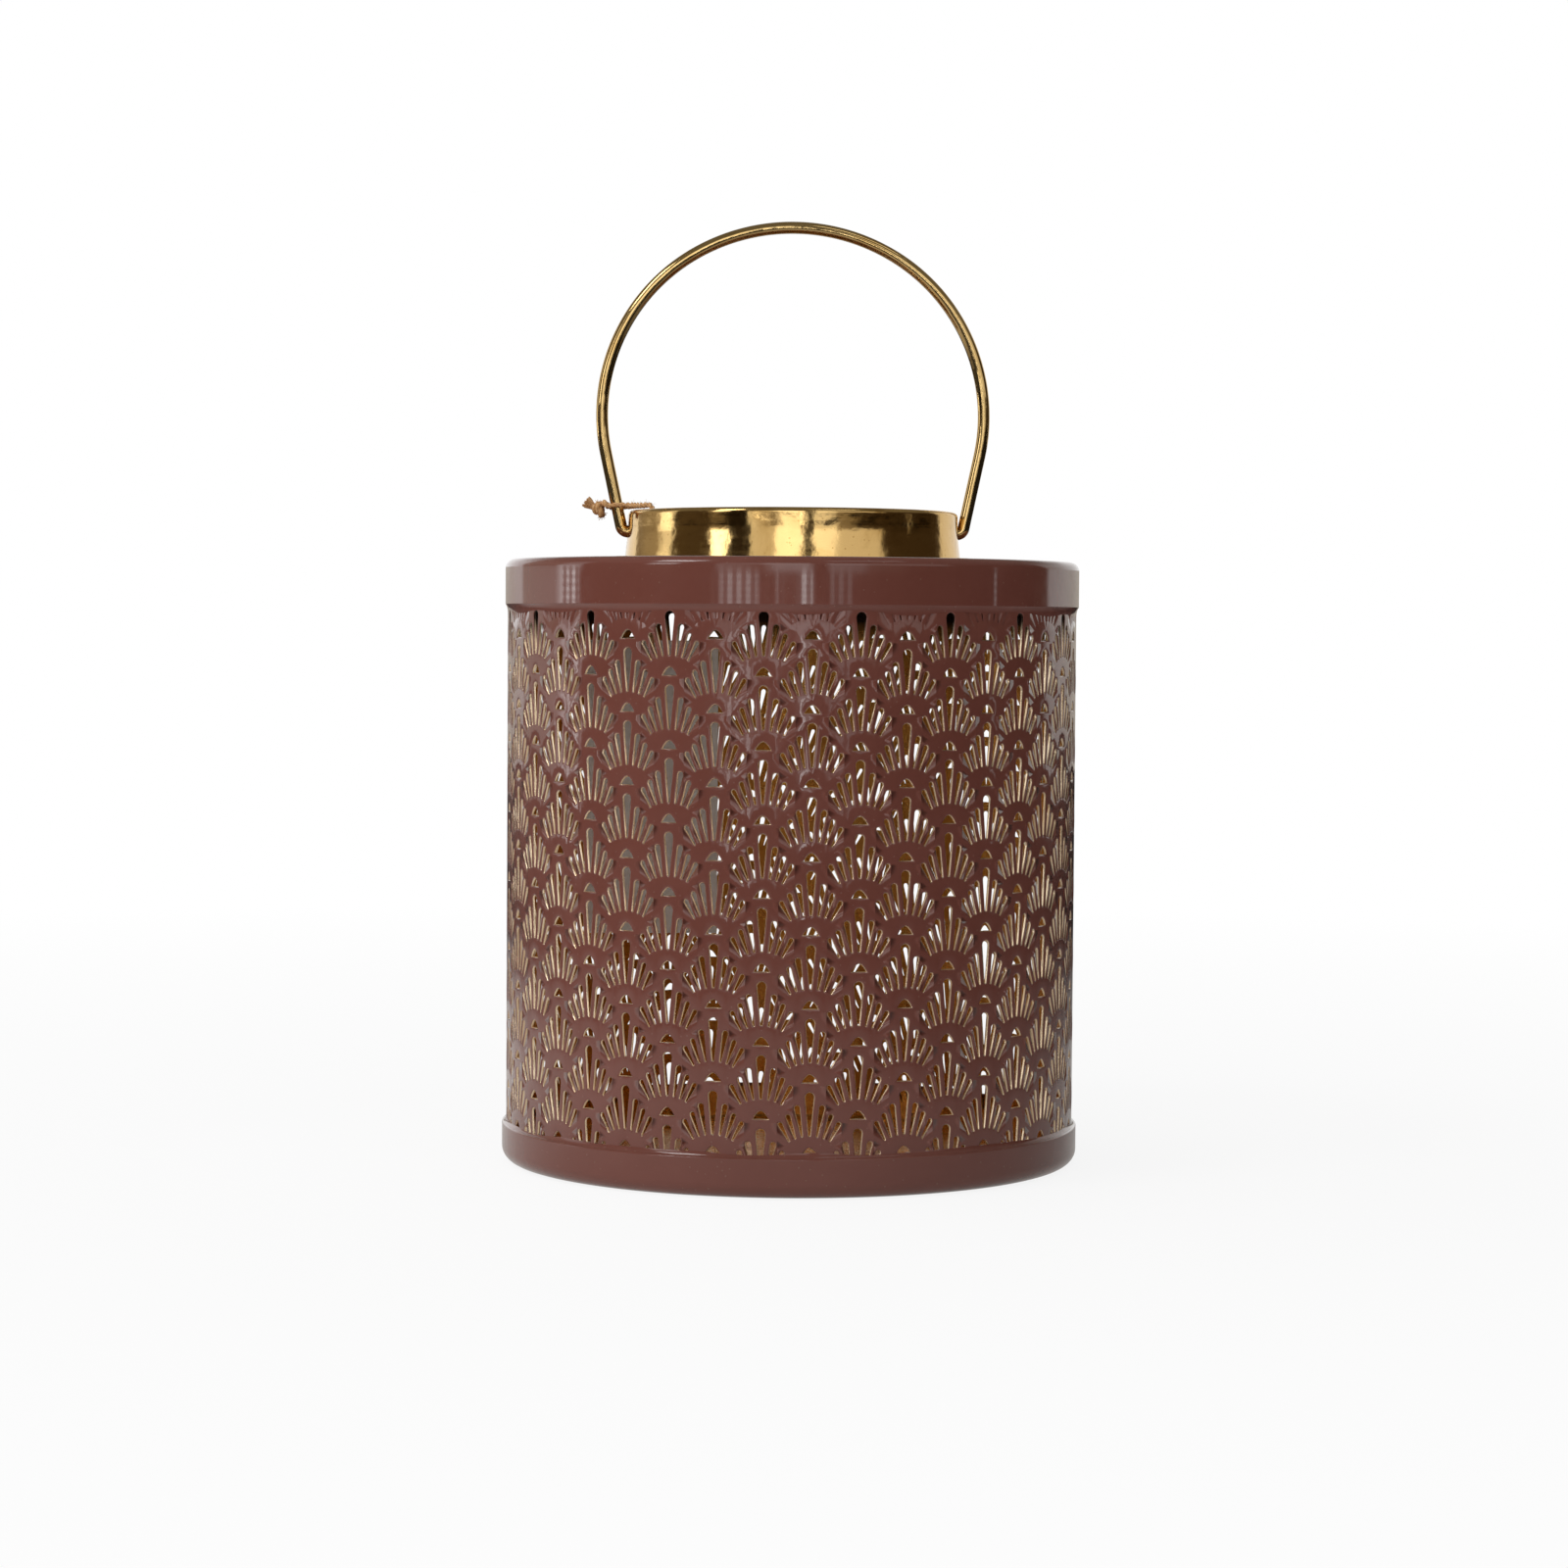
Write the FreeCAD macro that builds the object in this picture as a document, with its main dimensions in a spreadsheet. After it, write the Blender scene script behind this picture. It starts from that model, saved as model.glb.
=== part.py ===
import FreeCAD, Part
import math
import os
import Sketcher

# Punched tin lantern. Millimetres, +Z up, origin on the floor at the centre of the lantern.
# The bail's pivot axis lies along X. The plain strip with the lap seam stands at the right, near +X.

SIZES = {
    # Shell: a pierced sheet rolled to a tube, lapped on the inside at its seam
    "shell_radius": 82.5,
    "shell_sheet": 0.6,
    "lap_width": 12.0,
    # Cap: a pressed cup that closes the top and carries the collar
    "cap_top": 174.2,
    "cap_sheet": 0.5,
    "cap_gap": 0.2,
    "cap_skirt": 13.2,
    "cap_bend": 2.5,
    "cap_hole_gap": 0.1,
    # Pan: a pressed cup that the shell stands in, with a raised centre panel
    "pan_sheet": 0.9,
    "pan_gap": 0.3,
    "pan_rim": 11.2,
    "pan_bend": 2.0,
    "panel_radius": 58.0,
    "panel_slope": 2.0,
    "panel_rise": 1.2,
    # Collar: a short neck, flared at its foot, turned in at its top and flanged under the cap
    "neck_radius": 47.9,
    "foot_flare": 0.9,
    "collar_sheet": 0.6,
    "collar_height": 14.3,
    "flare_height": 8.2,
    "lip_width": 2.4,
    "lip_bend": 1.3,
    "flange_width": 2.4,
    # Bail: one bent wire with both ends sprung into the collar
    "wire_diameter": 3.5,
    "pivot_clearance": 0.55,
    "pivot_rise": 8.2,
    "leg_gap": 0.27,
    "foot_bend": 2.0,
    "stub_reach": 3.6,
    "leg_lean": 12.0,
    "bail_bulge": 6.0,
    "bail_rise": 88.3,
    "crown_angle": 30.0,
    # Fan pattern, in columns round the shell and rows up it, every other column half a row lower
    "row_pitch": 20.0,
    "front_row_top": 149.3,
    "fan_reach": 23.7,
    "slot_inner_reach": 11.5,
    "slot_outer_width": 2.8,
    "slot_inner_width": 0.85,
    "punch_stroke": 4.0,
    # Twine and tag
    "twine_diameter": 1.4,
    "knot_radius": 2.1,
    "knot_length": 5.3,
    "knot_gap": 0.35,
    "tag_width": 38.0,
    "tag_height": 84.0,
    "tag_sheet": 0.5,
    "tag_hole_radius": 2.0,
    "tag_hole_drop": 7.7,
    "tag_gap": 0.3,
}

# Counts of the pattern, right round the shell: columns at the height of the front one and those between
# them, half a row higher, and the fans in a column of each kind
FRONT_COLUMNS = 19
BETWEEN_COLUMNS = 18
FRONT_ROWS = 7
BETWEEN_ROWS = 8

# Sides of the tube's section, of the wire's and of the cord's. The tube has one face to each column,
# and two more for the plain strip with the seam, which is turned by whole faces from the back to the right.
TUBE_SIDES = FRONT_COLUMNS + BETWEEN_COLUMNS + 2
SEAM_TURN_SIDES = 10
WIRE_SIDES = 10
CORD_SIDES = 6

# A pressed bend is eased by one flat that touches its arc, this share of the bend's radius long each way
BEND_SHARE = 2 - math.sqrt(2)
# The first corner of a section stands this share of a side's angle past the level
FIRST_CORNER_SHARE = 0.25

# Twine outside the collar: up over the lip, along the rim, round the left leg of the bail and back
TWINE_OUTER_ROUTE = [
    (-41.2, -16.8, 187.4),
    (-41.2, -16.8, 189.9),
    (-44.9, -11.9, 189.7),
    (-48.0, -3.1, 190.1),
    (-53.8, -2.65, 189.9),
    (-53.8, 2.65, 189.4),
    (-48.3, 2.7, 189.6),
    (-45.6, -4.2, 189.7),
    (-43.4, -10.4, 189.6),
    (-41.2, -14.0, 189.9),
    (-41.2, -14.0, 187.4),
]

# Twine inside: down from the lip, through the hole of the tag and up again, pulled straight by it
TWINE_INNER_ROUTE = [
    (-41.2, -16.8, 187.4),
    (-41.2, -16.8, 144.3),
    (-41.2, -14.0, 144.3),
    (-41.2, -14.0, 187.4),
]

# Share of a run that each of its two arcs may use
ARC_SHARE = 0.45

# Knot: places along its length and the radius there, as shares of its length and radius
KNOT_SHARES = [(0.0, 0.6), (0.25, 1.0), (0.55, 0.7), (1.0, 0.85)]
KNOT_RISE_SHARE = 0.3


class Size:
    """A number together with the sheet formula that gives it."""

    def __init__(self, value, formula):
        self.value = value
        self.formula = formula

    def __add__(self, other):
        return Size(self.value + other.value, f"({self.formula} + {other.formula})")

    def __sub__(self, other):
        return Size(self.value - other.value, f"({self.formula} - {other.formula})")

    def __mul__(self, other):
        if isinstance(other, Size):
            return Size(self.value * other.value, f"({self.formula} * {other.formula})")
        return Size(self.value * other, f"({self.formula} * {other})")

    def __truediv__(self, other):
        if isinstance(other, Size):
            return Size(self.value / other.value, f"({self.formula} / {other.formula})")
        return Size(self.value / other, f"({self.formula} / {other})")


def sine(angle):
    return Size(math.sin(math.radians(angle.value)), f"sin({angle.formula} * 1 deg)")


def cosine(angle):
    return Size(math.cos(math.radians(angle.value)), f"cos({angle.formula} * 1 deg)")


def tangent(angle):
    return Size(math.tan(math.radians(angle.value)), f"tan({angle.formula} * 1 deg)")


doc = FreeCAD.newDocument("lantern")
sheet = doc.addObject("Spreadsheet::Sheet", "sizes")
for row, (alias, number) in enumerate(SIZES.items(), 1):
    sheet.set(f"A{row}", alias)
    sheet.set(f"B{row}", str(number))
    sheet.setAlias(f"B{row}", alias)
doc.recompute()


def size(alias):
    return Size(float(getattr(sheet, alias)), f"sizes.{alias}")


def bind(feature, **sizes):
    for name, amount in sizes.items():
        feature.setExpression(name, amount.formula)


def origin_feature(body, role):
    return next(feature for feature in body.Origin.OriginFeatures if feature.Role == role)


def new_body(name):
    body = doc.addObject("PartDesign::Body", name)
    body.Label = name
    return body


def new_sketch(body, name, plane):
    sketch = body.newObject("Sketcher::SketchObject", name)
    sketch.AttachmentSupport = [(origin_feature(body, plane), "")]
    sketch.MapMode = "FlatFace"
    return sketch


def constrain(sketch, kind, *references, amount=None):
    """Add one constraint; a dimension is bound to the sheet."""
    if amount is None:
        sketch.addConstraint(Sketcher.Constraint(kind, *references))
        return
    index = sketch.addConstraint(Sketcher.Constraint(kind, *references, amount.value))
    sketch.setExpression(f"Constraints[{index}]", amount.formula)


def pin(sketch, geometry, end, across, up):
    """Fix a point of the sketch; None for across puts it on the upright axis."""
    if across is None:
        constrain(sketch, "PointOnObject", geometry, end, -2)
    else:
        constrain(sketch, "DistanceX", -1, 1, geometry, end, amount=across)
    if up is None:
        constrain(sketch, "PointOnObject", geometry, end, -1)
    else:
        constrain(sketch, "DistanceY", -1, 1, geometry, end, amount=up)


def spot(across, up):
    return FreeCAD.Vector(across.value if across else 0, up.value if up else 0, 0)


def arc_between(centre, start, end, radius):
    """The arc of a circle from start to end, counter-clockwise."""
    circle = Part.Circle(centre, FreeCAD.Vector(0, 0, 1), radius)
    first = math.atan2(start.y - centre.y, start.x - centre.x)
    last = math.atan2(end.y - centre.y, end.x - centre.x)
    return Part.ArcOfCircle(circle, first, last if last > first else last + 2 * math.pi)


def draw_outline(sketch, corners):
    """Close straight edges through the corners (across, up)."""
    spots = [spot(across, up) for across, up in corners]
    edges = []
    for start, end in zip(spots, spots[1:] + spots[:1]):
        edges.append(sketch.addGeometry(Part.LineSegment(start, end), False))
    for edge, before, (across, up) in zip(edges, edges[-1:] + edges[:-1], corners):
        constrain(sketch, "Coincident", before, 2, edge, 1)
        pin(sketch, edge, 1, across, up)


def ring_corners(centre_up, radius, sides):
    """The corners of a round section about a point of the upright axis."""
    corners = []
    for side in range(sides):
        angle = 2 * math.pi * (side + FIRST_CORNER_SHARE) / sides
        corners.append((radius * math.cos(angle), centre_up + radius * math.sin(angle)))
    return corners


def spin_outline(body, name, corners):
    """Turn an outline of radius and height right round the upright axis."""
    sketch = new_sketch(body, name + "_outline", "XZ_Plane")
    draw_outline(sketch, corners)
    turned = body.newObject("PartDesign::Revolution", name + "_turned")
    turned.Profile = sketch
    turned.ReferenceAxis = (sketch, ["V_Axis"])
    turned.Angle = 360
    sketch.Visibility = False
    return turned


shell_radius = size("shell_radius")
shell_sheet = size("shell_sheet")
cap_top = size("cap_top")
cap_sheet = size("cap_sheet")
cap_under = cap_top - cap_sheet
pan_sheet = size("pan_sheet")
neck_radius = size("neck_radius")
collar_sheet = size("collar_sheet")
foot_radius = neck_radius + size("foot_flare")
pivot_height = cap_top + size("pivot_rise")
wire_diameter = size("wire_diameter")
wire_radius = wire_diameter / 2


def make_base_pan():
    inner = shell_radius + size("pan_gap")
    outer = inner + pan_sheet
    panel = size("panel_radius")
    slope_end = panel + size("panel_slope")
    rise = size("panel_rise")
    ease = size("pan_bend") * BEND_SHARE
    inner_ease = (size("pan_bend") - pan_sheet) * BEND_SHARE
    body = new_body("base_pan")
    spin_outline(body, "pan", [
        (None, rise),
        (panel, rise),
        (slope_end, None),
        (outer - ease, None),
        (outer, ease),
        (outer, size("pan_rim")),
        (inner, size("pan_rim")),
        (inner, pan_sheet + inner_ease),
        (inner - inner_ease, pan_sheet),
        (slope_end, pan_sheet),
        (panel, rise + pan_sheet),
        (None, rise + pan_sheet),
    ])
    return body


def make_top_cap():
    inner = shell_radius + size("cap_gap")
    outer = inner + cap_sheet
    hole = foot_radius + size("cap_hole_gap")
    skirt_end = cap_top - size("cap_skirt")
    ease = size("cap_bend") * BEND_SHARE
    inner_ease = (size("cap_bend") - cap_sheet) * BEND_SHARE
    body = new_body("top_cap")
    spin_outline(body, "cap", [
        (hole, cap_under),
        (inner - inner_ease, cap_under),
        (inner, cap_under - inner_ease),
        (inner, skirt_end),
        (outer, skirt_end),
        (outer, cap_top - ease),
        (outer - ease, cap_top),
        (hole, cap_top),
    ])
    return body


def make_collar():
    rim = cap_top + size("collar_height")
    waist = cap_top + size("flare_height")
    flange = foot_radius + size("flange_width")
    lip = neck_radius - size("lip_width")
    ease = size("lip_bend") * BEND_SHARE
    body = new_body("collar")
    spin_outline(body, "collar", [
        (foot_radius, cap_top),
        (foot_radius, cap_under),
        (flange, cap_under),
        (flange, cap_under - collar_sheet),
        (foot_radius - collar_sheet, cap_under - collar_sheet),
        (foot_radius - collar_sheet, cap_top),
        (neck_radius - collar_sheet, waist),
        (neck_radius - collar_sheet, rim - collar_sheet),
        (lip, rim - collar_sheet),
        (lip, rim),
        (neck_radius - ease, rim),
        (neck_radius, rim - ease),
        (neck_radius, waist),
    ])
    doc.recompute()
    solid_before = body.Shape.Volume
    holes = new_sketch(body, "pivot_holes", "YZ_Plane")
    hole_radius = wire_radius + size("pivot_clearance")
    centre = FreeCAD.Vector(0, pivot_height.value, 0)
    ring = holes.addGeometry(Part.Circle(centre, FreeCAD.Vector(0, 0, 1), hole_radius.value), False)
    pin(holes, ring, 3, None, pivot_height)
    constrain(holes, "Radius", ring, amount=hole_radius)
    punched = body.newObject("PartDesign::Pocket", "pivot_holes_cut")
    punched.Profile = holes
    punched.Type = "ThroughAll"
    punched.Midplane = True
    doc.recompute()
    print("collar, cut by its pivot holes:", round(solid_before - body.Shape.Volume, 2), "mm3")
    return body


def make_bail():
    """Half of the bail from crown to sprung-in end, then its mirror image."""
    lean, crown_angle = size("leg_lean"), size("crown_angle")
    foot_bend, rise = size("foot_bend"), size("bail_rise")
    half_turn = (Size(90, "90") - lean) / 2
    foot = neck_radius + size("leg_gap") + wire_radius * cosine(lean) - foot_bend * tangent(half_turn) * sine(lean)
    reach = foot + size("bail_bulge")
    apex = pivot_height + rise
    # Crown and side arcs that meet at the crown angle, touch the leaning leg and reach that wide
    swing = sine(crown_angle - lean)
    crown_part = swing + sine(lean)
    side_part = Size(1, "1") - swing
    leg_part = foot * cosine(lean) + rise * sine(lean)
    crown_side = Size(1, "1") - sine(crown_angle)
    spread = crown_part * crown_side - side_part * sine(crown_angle)
    crown_radius = (leg_part * crown_side - side_part * reach) / spread
    side_radius = (crown_part * reach - leg_part * sine(crown_angle)) / spread

    body = new_body("bail_handle")
    path = new_sketch(body, "bail_path", "XZ_Plane")
    lean_angle, crown_turn = math.radians(lean.value), math.radians(crown_angle.value)
    crown_centre = FreeCAD.Vector(0, apex.value - crown_radius.value, 0)
    outward = FreeCAD.Vector(math.sin(crown_turn), math.cos(crown_turn), 0)
    side_centre = crown_centre + outward * (crown_radius.value - side_radius.value)
    crown_end = crown_centre + outward * crown_radius.value
    leg_normal = FreeCAD.Vector(math.cos(lean_angle), -math.sin(lean_angle), 0)
    leg_top = side_centre + leg_normal * side_radius.value
    trim = foot_bend.value * math.tan(math.radians(half_turn.value))
    corner = spot(foot, pivot_height)
    leg_foot = corner + FreeCAD.Vector(math.sin(lean_angle), math.cos(lean_angle), 0) * trim
    stub_start = corner - FreeCAD.Vector(trim, 0, 0)
    stub_end = neck_radius - collar_sheet - size("stub_reach")
    bend_centre = stub_start + FreeCAD.Vector(0, foot_bend.value, 0)
    apex_spot = spot(None, apex)
    crown = path.addGeometry(arc_between(crown_centre, crown_end, apex_spot, crown_radius.value), False)
    side = path.addGeometry(arc_between(side_centre, leg_top, crown_end, side_radius.value), False)
    leg = path.addGeometry(Part.LineSegment(leg_top, leg_foot), False)
    bend = path.addGeometry(arc_between(bend_centre, stub_start, leg_foot, foot_bend.value), False)
    stub = path.addGeometry(Part.LineSegment(stub_start, spot(stub_end, pivot_height)), False)
    constrain(path, "Tangent", crown, 1, side, 2)
    constrain(path, "Tangent", side, 1, leg, 1)
    constrain(path, "Tangent", leg, 2, bend, 2)
    constrain(path, "Tangent", bend, 1, stub, 1)
    pin(path, crown, 2, None, apex)
    constrain(path, "PointOnObject", crown, 3, -2)
    constrain(path, "Radius", crown, amount=crown_radius)
    constrain(path, "Radius", side, amount=side_radius)
    constrain(path, "Radius", bend, amount=foot_bend)
    constrain(path, "Horizontal", stub)
    pin(path, stub, 2, stub_end, pivot_height)
    crown_chord = crown_radius * sine(crown_angle)
    constrain(path, "DistanceX", -1, 1, crown, 1, amount=crown_chord)

    section = new_sketch(body, "wire_section", "YZ_Plane")
    draw_outline(section, ring_corners(apex, wire_radius, WIRE_SIDES))
    doc.recompute()
    half = body.newObject("PartDesign::AdditivePipe", "half_bail")
    half.Profile = section
    half.Spine = (path, [])
    doc.recompute()
    whole = body.newObject("PartDesign::Mirrored", "whole_bail")
    whole.Originals = [half]
    whole.MirrorPlane = (origin_feature(body, "YZ_Plane"), [""])
    body.Tip = whole
    return body


def add_prism(name, circumradius, bottom, height):
    """A many-sided column with one side square to -Y."""
    outline = doc.addObject("Part::RegularPolygon", name + "_outline")
    outline.Polygon = TUBE_SIDES
    bind(outline, Circumradius=circumradius)
    outline.setExpression("Placement.Base.z", bottom.formula)
    turn = -90 - 180 / TUBE_SIDES
    outline.Placement.Rotation = FreeCAD.Rotation(FreeCAD.Vector(0, 0, 1), turn)
    prism = doc.addObject("Part::Extrusion", name)
    prism.Base = outline
    prism.DirMode = "Custom"
    prism.Dir = FreeCAD.Vector(0, 0, 1)
    prism.Solid = True
    bind(prism, LengthFwd=height)
    return prism


def radial_punch(column_angle, outline):
    """A straight punch through the wall: outline points lie along the wall and up it."""
    turn = math.radians(column_angle)
    out = FreeCAD.Vector(math.sin(turn), -math.cos(turn), 0)
    along = FreeCAD.Vector(math.cos(turn), math.sin(turn), 0)
    stroke = size("punch_stroke").value
    start = out * (shell_radius.value - stroke)
    points = [start + along * across + FreeCAD.Vector(0, 0, up) for across, up in outline]
    return Part.Face(Part.makePolygon(points + points[:1])).extrude(out * 2 * stroke)


def slot_outline(top):
    """The middle slot of a fan, which widens from its inner end up to its outer end."""
    length = size("fan_reach").value - size("slot_inner_reach").value
    wide, narrow = size("slot_outer_width").value / 2, size("slot_inner_width").value / 2
    return [(-wide, top), (wide, top), (narrow, top - length), (-narrow, top - length)]


def make_body_shell():
    bottom = size("pan_bend")
    height = cap_top - size("cap_bend") - bottom
    tube = doc.addObject("Part::Cut", "rolled_tube")
    tube.Base = add_prism("tube_outside", shell_radius, bottom, height)
    tube.Tool = add_prism("tube_inside", shell_radius - shell_sheet, bottom, height)
    lap = doc.addObject("Part::Box", "lap_seam")
    flat_inside = (shell_radius - shell_sheet) * math.cos(math.pi / TUBE_SIDES)
    bind(lap, Length=size("lap_width"), Width=shell_radius - flat_inside, Height=height)
    lap.setExpression("Placement.Base.x", (Size(0, "0") - size("lap_width") / 2).formula)
    lap.setExpression("Placement.Base.y", (flat_inside - shell_sheet).formula)
    lap.setExpression("Placement.Base.z", bottom.formula)
    blank = doc.addObject("Part::Fuse", "rolled_blank")
    blank.Base, blank.Tool = tube, lap

    pitch, row = 2 * 360 / TUBE_SIDES, size("row_pitch").value
    front_top = size("front_row_top").value
    punches = []
    for columns, rows, top in (
        (FRONT_COLUMNS, FRONT_ROWS, front_top),
        (BETWEEN_COLUMNS, BETWEEN_ROWS, front_top + row / 2),
    ):
        for column in range(columns):
            angle = (column - (columns - 1) / 2) * pitch
            for level in range(rows):
                punches.append(radial_punch(angle, slot_outline(top - level * row)))
    tool = doc.addObject("Part::Feature", "fan_punches")
    tool.Shape = Part.makeCompound(punches)
    shell = doc.addObject("Part::Cut", "body_shell")
    shell.Base, shell.Tool = blank, tool
    seam_turn = -SEAM_TURN_SIDES * 360 / TUBE_SIDES
    shell.Placement.Rotation = FreeCAD.Rotation(FreeCAD.Vector(0, 0, 1), seam_turn)
    shell.Label = "body_shell"
    return shell


def cord_wire(name, route):
    """Straight runs joined by tangent arcs, each as large as its two runs allow."""
    points = [FreeCAD.Vector(*point) for point in route]
    edges, here, radii = [], points[0], []
    for before, corner, after in zip(points, points[1:], points[2:]):
        back, ahead = before - corner, after - corner
        trim = ARC_SHARE * min(back.Length, ahead.Length)
        back.normalize()
        ahead.normalize()
        half_turn = (math.pi - back.getAngle(ahead)) / 2
        radius = trim / math.tan(half_turn)
        radii.append(round(radius, 1))
        start, end = corner + back * trim, corner + ahead * trim
        bisector = (back + ahead).normalize()
        middle = corner + bisector * (radius / math.cos(half_turn) - radius)
        edges.append(Part.LineSegment(here, start).toShape())
        edges.append(Part.Arc(start, middle, end).toShape())
        here = end
    edges.append(Part.LineSegment(here, points[-1]).toShape())
    wire = Part.Wire(edges)
    print(name, "length", round(wire.Length, 1), "mm, arc radii", radii)
    return wire


def make_cord(name, route):
    radius = size("twine_diameter").value / 2
    path = cord_wire(name, route)
    start = FreeCAD.Vector(*route[0])
    ahead = (FreeCAD.Vector(*route[1]) - start).normalize()
    turn = FreeCAD.Rotation(FreeCAD.Vector(0, 0, 1), ahead)
    ring = []
    for side in range(CORD_SIDES):
        angle = 2 * math.pi * side / CORD_SIDES
        ring.append(start + turn.multVec(FreeCAD.Vector(math.cos(angle), math.sin(angle), 0) * radius))
    section = Part.makePolygon(ring + ring[:1])
    tube = path.makePipeShell([section], True, False)
    expected = Part.Face(section).Area * path.Length
    print(name, "volume", round(tube.Volume, 2), "of", round(expected, 2), "mm3")
    cord = doc.addObject("Part::Feature", name)
    cord.Shape = tube
    cord.Label = name
    return cord


def make_knot():
    """The knot and its cut end, beside the turn of twine round the bail's left leg."""
    radius, length = size("knot_radius").value, size("knot_length").value
    first, second = (FreeCAD.Vector(*TWINE_OUTER_ROUTE[index]) for index in (4, 5))
    seat = (first + second) * 0.5
    gap = size("twine_diameter").value / 2 + size("knot_gap").value
    axis = FreeCAD.Vector(-1, 0, KNOT_RISE_SHARE).normalize()
    base = seat - FreeCAD.Vector(gap, 0, radius * KNOT_RISE_SHARE)
    turn = FreeCAD.Rotation(FreeCAD.Vector(0, 0, 1), axis)
    rings = []
    for place_share, radius_share in KNOT_SHARES:
        centre = base + axis * (length * place_share)
        ring = []
        for side in range(CORD_SIDES):
            angle = 2 * math.pi * side / CORD_SIDES
            arm = FreeCAD.Vector(math.cos(angle), math.sin(angle), 0) * (radius * radius_share)
            ring.append(centre + turn.multVec(arm))
        rings.append(Part.makePolygon(ring + ring[:1]))
    knot = doc.addObject("Part::Feature", "twine_knot")
    knot.Shape = Part.makeLoft(rings, True, True)
    knot.Label = "twine_knot"
    return knot


def make_tag():
    """A blank card that hangs by its hole from the fold of the twine."""
    width, hole_radius = size("tag_width"), size("tag_hole_radius")
    body = new_body("hang_tag")
    face = new_sketch(body, "tag_face", "XZ_Plane")
    top, drop = size("tag_hole_drop"), size("tag_height")
    half = width / 2
    left, low = Size(0, "0") - half, top - drop
    draw_outline(face, [(left, low), (half, low), (half, top), (left, top)])
    ring = face.addGeometry(Part.Circle(FreeCAD.Vector(0, 0, 0), FreeCAD.Vector(0, 0, 1), hole_radius.value), False)
    constrain(face, "Coincident", ring, 3, -1, 1)
    constrain(face, "Radius", ring, amount=hole_radius)
    card = body.newObject("PartDesign::Pad", "card")
    card.Profile = face
    bind(card, Length=size("tag_sheet"))
    card.Midplane = True
    folds = sorted(TWINE_INNER_ROUTE, key=lambda point: point[2])[:2]
    fold = (FreeCAD.Vector(*folds[0]) + FreeCAD.Vector(*folds[1])) * 0.5
    lift = size("twine_diameter").value / 2 + size("tag_gap").value - hole_radius.value
    body.Placement.Base = fold + FreeCAD.Vector(0, 0, lift)
    return body


nodes = [
    make_base_pan(),
    make_body_shell(),
    make_top_cap(),
    make_collar(),
    make_bail(),
    make_cord("twine_outer", TWINE_OUTER_ROUTE),
    make_knot(),
    make_cord("twine_inner", TWINE_INNER_ROUTE),
    make_tag(),
]
doc.recompute()

for thing in doc.Objects:
    if "Invalid" in thing.State or "Error" in thing.State:
        raise RuntimeError(f"{thing.Name} did not compute: {thing.State}")
for node in nodes:
    if node.Shape.isNull() or not node.Shape.isValid():
        raise RuntimeError(f"{node.Label} has no valid shape")
    print(node.Label, "solids", len(node.Shape.Solids), "volume", round(node.Shape.Volume, 1), "mm3")

os.makedirs("parts", exist_ok=True)
for node in nodes:
    node.Shape.exportStep(f"parts/{node.Label}.step")
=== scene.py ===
"""Dresses the punched tin lantern: pierced enamel shell, brass neck and bail, jute twine and a blank card.

Pieces are drawn in millimetres in the lantern's own frame and brought to metres when they are finished.
"""

import logging
import math
import random
from dataclasses import astuple, dataclass
from enum import Enum, IntEnum

import bmesh
import bpy
import numpy as np
from mathutils import Matrix, Vector, noise


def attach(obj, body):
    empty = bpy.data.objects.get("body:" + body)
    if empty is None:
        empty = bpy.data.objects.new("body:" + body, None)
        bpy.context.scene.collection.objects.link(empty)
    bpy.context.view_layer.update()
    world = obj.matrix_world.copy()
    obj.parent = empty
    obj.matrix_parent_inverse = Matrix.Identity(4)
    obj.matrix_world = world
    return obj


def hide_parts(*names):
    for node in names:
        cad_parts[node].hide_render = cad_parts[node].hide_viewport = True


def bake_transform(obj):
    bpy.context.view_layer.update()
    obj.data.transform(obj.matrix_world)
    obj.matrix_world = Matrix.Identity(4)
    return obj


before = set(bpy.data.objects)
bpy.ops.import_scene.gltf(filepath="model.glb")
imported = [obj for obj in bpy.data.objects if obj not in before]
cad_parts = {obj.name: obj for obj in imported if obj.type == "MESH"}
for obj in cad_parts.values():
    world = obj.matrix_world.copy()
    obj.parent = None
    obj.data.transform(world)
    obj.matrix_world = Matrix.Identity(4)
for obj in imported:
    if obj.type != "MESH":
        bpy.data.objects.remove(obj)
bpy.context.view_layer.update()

LOG = logging.getLogger("lantern")

# One millimetre in metres, how near points count as one in millimetres, and a whole turn

MM = 0.001
MERGE = 0.002
FULL_TURN = 2 * math.pi

# Sizes in millimetres, and counts, that several sub-assemblies share

SHELL_RADIUS = 82.5
COLUMNS = 39
SEAM_COLUMNS = 9.5
CAP_TOP = 174.2
CAP_SHEET = 0.5

# Types

Point = tuple[float, float, float]
Colour = tuple[float, float, float]
Room = tuple[tuple[float, float], ...]
Shape = bmesh.types.BMesh
Vert = bmesh.types.BMVert
Edge = bmesh.types.BMEdge
Tip = list[Vert | Edge]
Piece = bpy.types.Object
Socket = bpy.types.NodeSocket
Mesh = bpy.types.Mesh
Tree = bpy.types.NodeTree
Material = bpy.types.Material
Items = bpy.types.bpy_prop_collection


class Body(Enum):
    """The moving bodies of the lantern."""

    ROOT = "root"
    BAIL = "bail"
    TAG = "tag"


class Coat(Enum):
    """The finishes that the record names."""

    ENAMEL = "enamel"
    BRASS = "brass_plate"
    TWINE = "twine"
    CARD = "card"


class TileKind(Enum):
    """What is pressed into one tile of the shell's pattern."""

    FAN = "fan"
    EDGE_FAN = "edge_fan"
    PLAIN = "plain"


class Skin(IntEnum):
    """The materials that a piece of tin has besides its enamel, by their place in its list."""

    LINED = 1
    CUT = 2


# Helpers


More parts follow.
